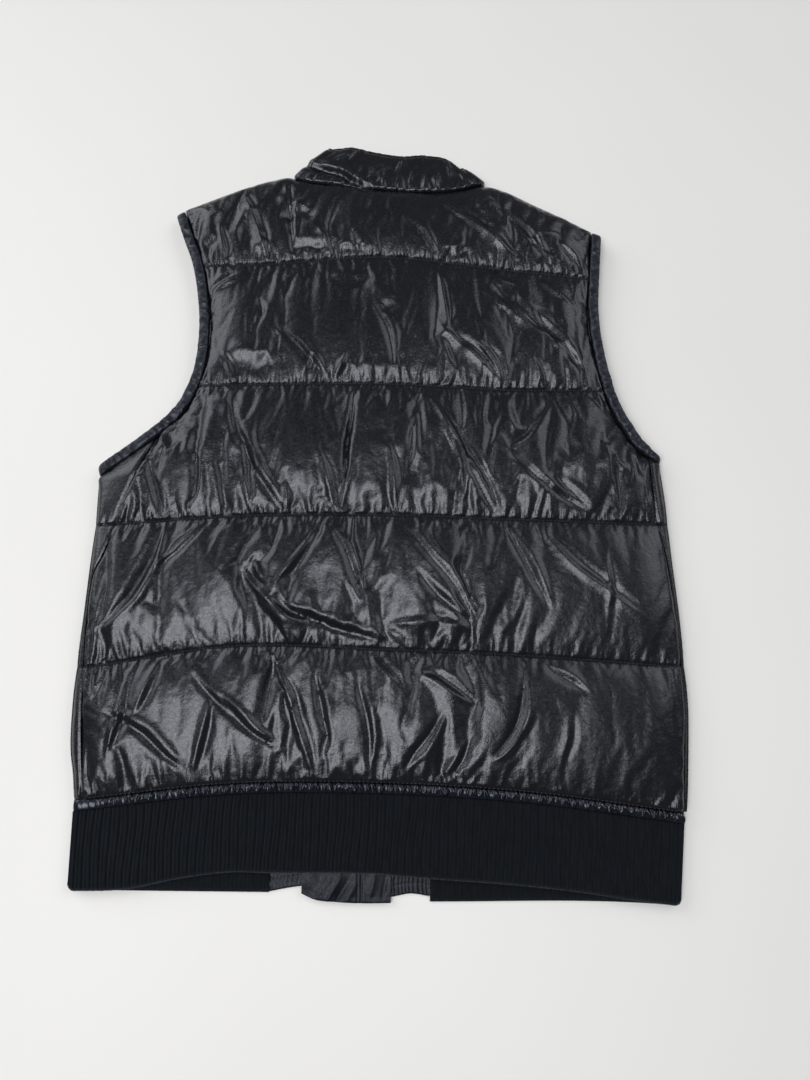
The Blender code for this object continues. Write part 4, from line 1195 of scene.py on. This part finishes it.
def strip_piece():
    """The strip above the back's rib, gathered along its length."""
    stations = np.linspace(*STRIP_ENDS, 1300)
    upper = hem_line(stations) - GAP
    drop = 3.6 * rounding(np.minimum(stations - STRIP_ENDS[0], STRIP_ENDS[1] - stations), 6.0)
    across = np.linspace(0.0, 1.0, 15)
    crown = STRIP_TOP - 1.2 + 1.1 * np.sin(math.pi * across) ** 0.6
    grid_x = np.broadcast_to(stations[:, None], (len(stations), len(across)))
    share = np.broadcast_to(across[None], grid_x.shape)
    rise = gathers(grid_x, share, 43, 4.4, 2.8) + gathers(grid_x, share, 47, 3.0, 0.6)
    rise *= np.clip((grid_x - STRIP_ENDS[0] - 16.0) / 18.0, 0.12, 1.0)
    rise *= np.sin(math.pi * np.clip(share, 0.04, 0.96)) ** 0.4
    z = crown[None] + rise - drop[:, None]
    grid_y = upper[:, None] - share * STRIP_WIDTH
    wall = np.stack([grid_x, grid_y, z], -1)
    low = np.stack([np.stack([stations, upper - STRIP_WIDTH, np.full(len(stations), STRIP_BASE)], -1),
                    np.stack([stations, upper, np.full(len(stations), STRIP_BASE)], -1)], 1)
    piece = loft_piece("gathered_strip_back", np.concatenate([wall, low], 1), TRIM, smooth_angle=70.0)
    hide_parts("hem_strip_back")


def strip_front_piece(side):
    """A front's strip, which lies plain under the back's."""
    outer = STRIP_ENDS[0] if side == "left" else STRIP_ENDS[1]
    stations = np.linspace(outer, RIB_ENDS[side], 60)
    upper = hem_line(stations) - GAP
    lift = 1.8 * rounding(np.abs(stations - outer), 4.0)
    full = np.full(len(stations), STRIP_BASE - GAP)
    corners = ((0.0, lift), (STRIP_WIDTH, lift), (STRIP_WIDTH, full), (0.0, full))
    rings = np.stack([np.stack([stations, upper - down, z], -1) for down, z in corners], 1)
    piece = loft_piece(f"gathered_strip_{side}", rings, TRIM)
    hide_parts(f"hem_strip_{side}")


# The pale tube along the back band's lower fold, partly fuzz and partly painted highlight.
FUZZ_HIGHLIGHT_SIDES = 6
FUZZ_HIGHLIGHT_RADIUS = (0.34, 0.16)  # the least, and how much thicker it gets


def fold_edge(x, y, z):
    """The fuzzy line of lifted loops along the fold at the back band's lower edge; its pale colour partly
    paints the highlight that the fold's edge catches.
    """
    pick = np.random.default_rng(77)
    angles = np.linspace(0.0, 2.0 * math.pi, FUZZ_HIGHLIGHT_SIDES, endpoint=False)
    radius = FUZZ_HIGHLIGHT_RADIUS[0] + FUZZ_HIGHLIGHT_RADIUS[1] * pick.random(len(x))
    y = y - 0.15 - 0.25 * pick.random(len(x))
    rings = np.stack([np.broadcast_to(x[:, None], (len(x), FUZZ_HIGHLIGHT_SIDES)),
                      y[:, None] + radius[:, None] * np.cos(angles)[None],
                      z[:, None] + radius[:, None] * np.sin(angles)[None]], -1)
    piece = loft_piece("rib_fold_edge_highlight", rings, FUZZ_AND_HIGHLIGHT)


RIB_GROOVE = 0.11  # half width of the groove between ribs, as a share of the pitch
RIB_LINE = (0.42, 0.08)  # the finer groove along each rib: its depth and half width as shares


def rib_piece(name, node, left, right, foot, base, top, rib_side, seed, samples=16, rows=26):
    """A ribbed band between two side lines, each given at its upper and lower ends."""
    on_back = base > 0.0
    ribs = round((right[0] - left[0]) / RIB_PITCH)
    share = np.linspace(0.0, 1.0, samples * ribs + 1)
    down = np.linspace(0.0, 1.0, rows)
    x_top = left[0] + share * (right[0] - left[0])
    x_foot = left[1] + share * (right[1] - left[1])
    near = np.full(share.shape, FAR)
    if "left" in rib_side:
        near = np.minimum(near, x_top - left[0])
    if "right" in rib_side:
        near = np.minimum(near, right[0] - x_top)
    y_top = hem_line(x_top) - STRIP_WIDTH - 2 * GAP
    y_foot = smooth(foot, x_foot) + HEM_CORNER * rounding(near, HEM_CORNER)
    x = x_top[:, None] + down[None] * (x_foot - x_top)[:, None]
    y = y_top[:, None] + down[None] * (y_foot - y_top)[:, None]
    pick = np.random.default_rng(seed)
    sway = np.zeros(x.shape)
    for _ in range(5):
        length, phase, lean = pick.uniform(60.0, 200.0), pick.uniform(0.0, 6.28), pick.uniform(-0.02, 0.02)
        sway += 0.5 * np.sin(2 * math.pi * (y / length + x * lean) + phase)
    inner = np.clip(np.minimum(share, 1.0 - share) * 30.0, 0.0, 1.0)[:, None]
    x = x + sway * inner * np.sin(math.pi * down[None]) ** 0.5
    phase = (share * ribs) % 1.0
    groove = np.exp(-(np.minimum(phase, 1.0 - phase) / RIB_GROOVE) ** 2)
    groove += RIB_LINE[0] * np.exp(-((phase - 0.5) / RIB_LINE[1]) ** 2)
    depth = 1.5 if on_back else 1.2
    crest = top + 0.3 - depth * groove
    if on_back:
        crest = crest - (top - base - 2.0) * rounding(near, 5.0)
        floor = np.full(share.shape, base)
    else:
        crest = np.minimum(crest, RIB_THICK)
        floor = base + 2.0 * rounding(near, 4.0)
    lie = np.zeros(x.shape)  # how unevenly the band lies
    if on_back:
        for _ in range(7):
            cx, cy = pick.uniform(-250, 250), pick.uniform(-350, -275)
            lie += pick.uniform(-0.7, 0.7) * np.exp(-((x - cx) / 45.0) ** 2 - ((y - cy) / 25.0) ** 2)
    z = crest[:, None] + lie
    edge_drop = rounding((1.0 - down)[None] * (y_top - y_foot)[:, None], 2.2)
    z = z - (z - floor[:, None] - 0.2) * 0.75 * edge_drop
    foot_points = np.stack([x_foot, y_foot, floor], -1)[:, None]
    head_points = np.stack([x_top, y_top, floor], -1)[:, None]
    rings = np.concatenate([np.stack([x, y, z], -1), foot_points, head_points], 1)
    piece = loft_piece(name, rings, KNIT, smooth_angle=80.0)
    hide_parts(node)
    if on_back:
        # the pale line of fuzz and painted highlight along the band's lower fold
        fold_edge(x_foot, y_foot, 0.45 * (floor + top))


rib_piece("rib_band_back", "rib_back", RIB_EDGES["left"], RIB_EDGES["right"], BACK_RIB_EDGE, RIB_BASE,
          RIB_TOP, ("left", "right"), 5)
rib_piece("rib_band_left", "rib_left", RIB_EDGES["left"], (RIB_ENDS["left"],) * 2, FRONT_RIB_EDGE["left"],
          0.0, RIB_THICK, ("left",), 6, samples=12, rows=10)
rib_piece("rib_band_right", "rib_right", (RIB_ENDS["right"],) * 2, RIB_EDGES["right"],
          FRONT_RIB_EDGE["right"], 0.0, RIB_THICK, ("right",), 7, samples=12, rows=10)
strip_piece()
for side in SIDES:
    strip_front_piece(side)


def panel_piece(name, node, x, foot, head, base, thick, relief, material):
    """A flat nylon piece whose upper face has relief."""
    down = np.linspace(0.0, 1.0, 60) ** 2.2
    grid_x = np.broadcast_to(x[:, None], (len(x), len(down)))
    grid_y = foot[:, None] + down[None] * (head - foot)[:, None]
    z = base + thick - 0.6 * rounding(grid_y - foot[:, None], 1.6) + relief(grid_x, grid_y, foot[:, None])
    grid = np.stack([grid_x, grid_y, z], -1)
    low = np.stack([np.stack([x, head, np.full(len(x), base)], -1),
                    np.stack([x, foot, np.full(len(x), base)], -1)], 1)
    piece = loft_piece(name, np.concatenate([grid, low], 1), material, smooth_angle=75.0)
    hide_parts(node)


def flap_relief(x, y, foot):
    """Diagonal creases and soft waves over the flap's foot, its seam and its stitched edge."""
    creases = ((-45, -358, -30, -334, 0, 1.8, 1.3), (-38, -358, -22, -334, 0, 1.6, -1.1),
               (-52, -352, -38, -332, 0, 2.6, 0.8), (-28, -356, -17, -338, 0, 2.2, 0.9),
               (-8, -354, -3, -333, 0, 2.2, 0.7), (2, -354, 6, -334, 0, 1.8, -0.8))
    stitched = seam_groove(np.abs(y - foot - 4.6), 0.6, 0.7)
    waves = 0.45 * soft_noise(x, y, 15.0, 19) * np.clip((y - foot) / 5.0, 0.0, 1.0)
    seam = -0.9 * np.exp(-((x + 14.7) / 0.9) ** 2) - 0.6 * np.exp(-((x + 17.5) / 0.8) ** 2)
    return crease_height(x, y, creases, 1.6) + stitched + waves + seam


def end_relief(x, y, foot):
    """Small gathers across a nylon end."""
    gathered = 0.28 * np.sin(x * 1.9 + 1.3 * np.sin(x * 0.31) + 0.6 * np.sin(y * 0.4))
    return gathered * (0.4 + 0.6 * np.sin(y * 0.35) ** 2) - 0.25 * np.exp(-((y - foot - 8.0) / 0.8) ** 2)


flap_x = np.linspace(FLAP_EDGE["left"], FLAP_EDGE["right"], 90)
flap_head = np.full(len(flap_x), FRONT_NECK_Y - 3.0)
panel_piece("flap", "placket_flap", flap_x, smooth(FLAP_FOOT, flap_x), flap_head, FLAP_BASE, FLAP_THICK,
            flap_relief, FLAP)
for side in SIDES:
    end_x = np.linspace(RIB_ENDS[side] + INWARD[side] * GAP, FRONT_MIDDLE[side], 70)
    panel_piece(f"rib_end_panel_{side}", f"rib_end_{side}", end_x, smooth(RIB_END_FOOT[side], end_x),
                hem_line(end_x) - GAP, 0.0, FRONT_MIDDLE_THICK - 0.35, end_relief, FLAP)

# ---------------------------------------------------------------------------------------------------
# Collar.


COLLAR_END = {"left": NECK_LEFT - 0.8, "right": NECK_RIGHT - 1.5}


def neck_point(x):
    """Where the collar's back starts above the back's neck edge."""
    return np.array([x, float(cross_y("top", x)) + 2 * GAP])


def collar_folds():
    """(seam point, top point, way out) of the line at each side where the collar turns to the front."""
    folds = {}
    for side in SIDES:
        seam = neck_point(COLLAR_END[side])
        top = np.array(COLLAR_BACK_TOP[0] if side == "left" else COLLAR_BACK_TOP[-1])
        ahead = (top - seam) / np.hypot(*(top - seam))
        folds[side] = seam, top, INWARD[side] * np.array([-ahead[1], ahead[0]])
    return folds


def collar_arm(side, fold):
    """(seam point, top point) of each section on a front, from the zip out to the fold."""
    neck = front_grids[side][-1]
    line = [point[:2] for point in neck[::-1][:7]]
    line[0] = np.array([ZIP_X - INWARD[side] * (SLIDER_WIDTH / 2 + GAP), line[0][1]])
    line = [point for point in line if abs(point[0] - flap_edge(side)) > 0.1] + [fold[0]]
    reach = np.concatenate([[0.0], np.cumsum([np.hypot(*(b - a)) for a, b in zip(line, line[1:])])])
    top_start = line[0] + (0.0, COLLAR_HEIGHT)
    sections = []
    for seam, share in zip(line, reach / reach[-1]):
        top = top_start + share * (fold[1] - top_start)
        ahead = (top - seam) / np.hypot(*(top - seam))
        top = top - ahead * COLLAR_ARM_BOW * 4.0 * share * (1.0 - share)
        sections.append((seam + ahead * 1.5 * GAP if share < 1.0 else seam, top))
    return sections


COLLAR_BACK_SECTIONS = 230
COLLAR_OUTER = 54  # points up the outer face of each section
COLLAR_INNER = 9
# The deep fold that runs down from the collar's left end: x, share of the height; then its depth.
COLLAR_TROUGH = ((-83.0, 0.36), (-60.0, 0.30), (-48.0, 0.25), (-33.0, 0.12), (-20.0, 0.03), (-10.0, 0.0))
COLLAR_TROUGH_DEPTH = ((-86.0, -70.0, -40.0, -22.0, -8.0), (2.2, 3.6, 4.2, 2.4, 0.0))
COLLAR_PUCKERS = (-84.0, 97.0)  # where they begin and end along the neck
COLLAR_CREASES = (
    # x0, share of the height there, x1, share there, bow, width, rise
    (-72, 0.55, -40, 0.98, 0, 3.0, 1.2),
    (-50, 0.60, -46, 0.96, 0, 2.0, -1.0),
    (-30, 0.45, 4, 0.62, 0, 3.5, 1.0),
    (-22, 0.20, -8, 0.50, 0, 2.6, 1.3),
    (-10, 0.10, -2, 0.42, 0, 2.2, -1.2),
    (15, 0.92, 9, 0.45, 0, 2.4, -1.4),
    (24, 0.15, 30, 0.55, 0, 2.6, 0.9),
    (40, 0.05, 44, 0.40, 0, 2.2, 1.0),
    (52, 0.05, 54, 0.45, 0, 2.0, 0.9),
    (62, 0.10, 60, 0.55, 0, 2.6, -1.0),
    (70, 0.30, 78, 0.90, 0, 3.0, 1.2),
    (84, 0.10, 80, 0.60, 0, 2.4, -1.0),
)


def collar_relief(x, h, high):
    """The collar's outer relief at the back, at x along the neck and a share of its height."""
    trough = smooth(COLLAR_TROUGH, x)
    depth = np.interp(x, *COLLAR_TROUGH_DEPTH)
    up = h * high
    added = 2.0 * np.sin(math.pi * np.clip(h, 0.0, 1.0)) ** 0.7
    added -= depth * np.exp(-np.abs((h - trough) / 0.075) ** 2.0)
    added += 0.5 * depth * np.exp(-((h - trough - 0.12) / 0.07) ** 2)
    scaled = tuple((x0, h0 * high, x1, h1 * high, bow, width, rise)
                   for x0, h0, x1, h1, bow, width, rise in COLLAR_CREASES)
    added += 0.8 * crease_height(x, up, scaled, 1.6)
    pick = np.random.default_rng(91)
    at = COLLAR_PUCKERS[0]
    while at < COLLAR_PUCKERS[1]:
        at += pick.uniform(4.0, 9.0)
        width, reach = pick.uniform(1.7, 3.0), pick.uniform(0.15, 0.38)
        rise, slant = pick.uniform(0.5, 1.3), pick.normal(0.0, 12.0)
        lifted = 1.0 - np.exp(-h * high / 1.6)  # none at the seam itself
        added += rise * np.exp(-((x - at - slant * h) / width) ** 2) * np.exp(-(h / reach) ** 2) * lifted
        added += 0.5 * rise * np.exp(-((x - at - 3.0) / width) ** 2) * np.exp(-((1.0 - h) / 0.16) ** 2)
    added += 0.7 * soft_noise(x, up, 38.0, 101) + 0.16 * soft_noise(x, up, 14.0, 103)
    return added - 0.9 * np.exp(-((1.0 - h) * high / 3.2 - 1.0) ** 2 * 8.0)


def collar_piece():
    """One band: from the zip along the left front, over at the fold, across the back, and the same on."""
    folds = collar_folds()
    left, right = folds["left"][0][0], folds["right"][0][0]
    stations = [(*section, 0.0, folds["left"][2]) for section in collar_arm("left", folds["left"])]
    turns = np.linspace(0.0, 180.0, 14)[1:-1]
    stations += [(*folds["left"][:2], turn, folds["left"][2]) for turn in turns]
    top_left, top_right = COLLAR_BACK_TOP[0][0], COLLAR_BACK_TOP[-1][0]
    for k in range(COLLAR_BACK_SECTIONS + 1):
        t = k / COLLAR_BACK_SECTIONS
        at = left + t * (right - left)
        top_x = top_left + t * (top_right - top_left)
        top = np.array([top_x, float(smooth(COLLAR_BACK_TOP, top_x))])
        stations.append((neck_point(at), top, 180.0, folds["left"][2]))
    stations += [(*folds["right"][:2], turn, folds["right"][2]) for turn in turns[::-1]]
    arm = [(*section, 0.0, folds["right"][2]) for section in collar_arm("right", folds["right"])]
    stations += arm[::-1]

    outer = np.linspace(0.0, 1.0, COLLAR_OUTER)
    inner = np.linspace(1.0, 0.0, COLLAR_INNER)
    h = np.concatenate([outer, inner])
    face = np.concatenate([np.ones(COLLAR_OUTER), -np.ones(COLLAR_INNER)])
    rings = []
    for seam, top, turn, out in stations:
        angle = math.radians(turn)
        out_way = np.array([*(out * math.sin(angle)), -math.cos(angle)])
        raised = (1.0 - math.cos(angle)) / 2.0
        half = COLLAR_HALF[0] + h * (COLLAR_HALF[1] - COLLAR_HALF[0])
        high = COLLAR_BACK_MIDDLE[0] + h * (COLLAR_BACK_MIDDLE[1] - COLLAR_BACK_MIDDLE[0])
        radius = (high - half) / 2.0
        plan = seam[None] + h[:, None] * (top - seam)[None] + out[None] * (radius * math.sin(angle))[:, None]
        middle = np.concatenate([plan, ((high + half) / 2.0 - radius * math.cos(angle))[:, None]], 1)
        length = float(np.hypot(*(top - seam)))
        relief = collar_relief(np.full(h.shape, seam[0]), h, length) * raised ** 2
        round_off = rounding(np.minimum(h, 1.0 - h) * length, 2.6) * half * 0.9
        depth = half - round_off + np.where(face > 0, relief - 0.7 * raised, 0.0)
        rings.append(middle + (face * depth)[:, None] * out_way[None])
    piece = loft_piece("collar_band", rings, SHELL, smooth_angle=75.0)
    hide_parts("collar")


collar_piece()

# The zip and its slider show as their solids.
for node in ("zip", "zip_slider"):
    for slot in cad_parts[node].material_slots:
        slot.material = PLASTIC

# ---------------------------------------------------------------------------------------------------
# Stitches along the quilt lines.


# Each stitch's sections: how far along it, half thickness, how far its middle is below the cloth's face.
STITCH_SECTIONS = ((0.0, 0.2, 0.1), (0.6, 0.55, -0.35), (2.4, 0.55, -0.35), (3.0, 0.2, 0.1))
STITCH_LENGTH = 3.0
STITCH_PITCH = 3.6
STITCH_SIDES = 6
STITCH_MARGIN = 1.0


def stitches_piece():
    """One short raised bar of thread for each stitch, lying in its groove."""
    points, faces = [], []
    angles = [math.pi * turn / (STITCH_SIDES / 2) for turn in range(STITCH_SIDES)]
    for row in np.cumsum([0, *CHANNEL_ROWS])[:-1]:
        line = back_points[row]
        reach = np.concatenate([[0.0], np.cumsum(np.linalg.norm(np.diff(line[:, :2], axis=0), axis=1))])
        start = STITCH_MARGIN
        while start + STITCH_LENGTH < reach[-1] - STITCH_MARGIN:
            middles = [np.array([np.interp(start + along_it, reach, line[:, k]) for k in range(3)])
                       for along_it, _, _ in STITCH_SECTIONS]
            ahead = (middles[-1] - middles[0]) / np.linalg.norm(middles[-1] - middles[0])
            side_way = np.cross(ahead, (0.0, 0.0, 1.0))
            first = len(points)
            for middle, (_, size, sink) in zip(middles, STITCH_SECTIONS):
                for angle in angles:
                    around = side_way * math.cos(angle) * size
                    points.append(middle + around + np.array([0.0, 0.0, math.sin(angle) * size - sink]))
            sections = len(STITCH_SECTIONS)
            faces += grid_faces(sections, STITCH_SIDES, around=True, start=first)
            faces.append([first + k for k in range(STITCH_SIDES)])
            faces.append([first + (sections - 1) * STITCH_SIDES + k for k in range(STITCH_SIDES)])
            start += STITCH_PITCH
    piece = mesh_piece("quilt_stitches", points, faces, THREAD)


stitches_piece()

# ---------------------------------------------------------------------------------------------------
# Floor, light and camera.


FLOOR_HALF = 4  # metres
FLOOR_CORNERS = [(FLOOR_HALF * x, FLOOR_HALF * y, 0) for x, y in ((-1, -1), (1, -1), (1, 1), (-1, 1))]


def floor_material():
    """Plain pale floor."""
    made, tree, shader, coords = new_material("floor")
    colour = colour_between(tree, noise(tree, coords, 1.3), (0.77, 0.765, 0.755), (0.81, 0.807, 0.80))
    feed(tree, shader, Base_Color=colour, Roughness=0.55, Specular_IOR_Level=0.3)
    return made


floor_mesh = bpy.data.meshes.new("floor")
floor_mesh.from_pydata(FLOOR_CORNERS, [], [(0, 1, 2, 3)])
floor_mesh.materials.append(floor_material())
floor = bpy.data.objects.new("floor", floor_mesh)
bpy.context.scene.collection.objects.link(floor)


LIGHTS = (
    # name, place, aim, size, watts, colour; in metres
    ("lamp", (-0.53, -0.45, 2.0), (-0.1, -0.1, 0.0), (0.85, 1.6), 31.0, (1.0, 0.99, 0.98)),
    ("window", (-2.4, 1.8, 1.6), (0.0, 0.0, 0.0), (3.0, 2.0), 52.0, (0.98, 0.99, 1.0)),
    ("fill", (2.2, 1.5, 2.2), (0.2, 0.1, 0.0), (2.4, 1.8), 27.0, (1.0, 1.0, 1.0)),
)
SKY_COLOUR = (0.92, 0.95, 1.0, 1.0)
SKY_STRENGTH = 0.155


def area_light(name, at, aim, size, power, colour):
    """A soft rectangular lamp that looks at a point."""
    light = bpy.data.lights.new(name, "AREA")
    light.shape = "RECTANGLE"
    light.size, light.size_y = size
    light.energy = power
    light.color = colour
    lamp = bpy.data.objects.new(name, light)
    lamp.location = at
    direction = np.array(aim) - np.array(at)
    lamp.rotation_mode = "QUATERNION"
    lamp.rotation_quaternion = Vector(direction).to_track_quat("-Z", "Y")
    bpy.context.scene.collection.objects.link(lamp)


for row in LIGHTS:
    area_light(*row)

world = bpy.data.worlds.new("studio")
bpy.context.scene.world = world
world.use_nodes = True
background = world.node_tree.nodes["Background"]
background.inputs["Color"].default_value = SKY_COLOUR
background.inputs["Strength"].default_value = SKY_STRENGTH

# The photo's view: the lens and the photo's height in the photo's pixels, the camera's place in millimetres
# over the plan, and its tilt from straight down towards the collar.
FOCAL_PIXELS, PHOTO_HEIGHT = 811.0, 1080.0
SENSOR = 36.0
CAMERA_AT = (21.0, -230.0, 713.0)
TILT = math.radians(14.1)
lens = bpy.data.cameras.new("camera")
lens.sensor_width = SENSOR
lens.lens = SENSOR * FOCAL_PIXELS / PHOTO_HEIGHT
camera = bpy.data.objects.new("camera", lens)
camera.location = place(CAMERA_AT)
camera.rotation_euler = (TILT, 0.0, 0.0)
bpy.context.scene.collection.objects.link(camera)
bpy.context.scene.camera = camera
bpy.context.scene.view_settings.view_transform = "Standard"
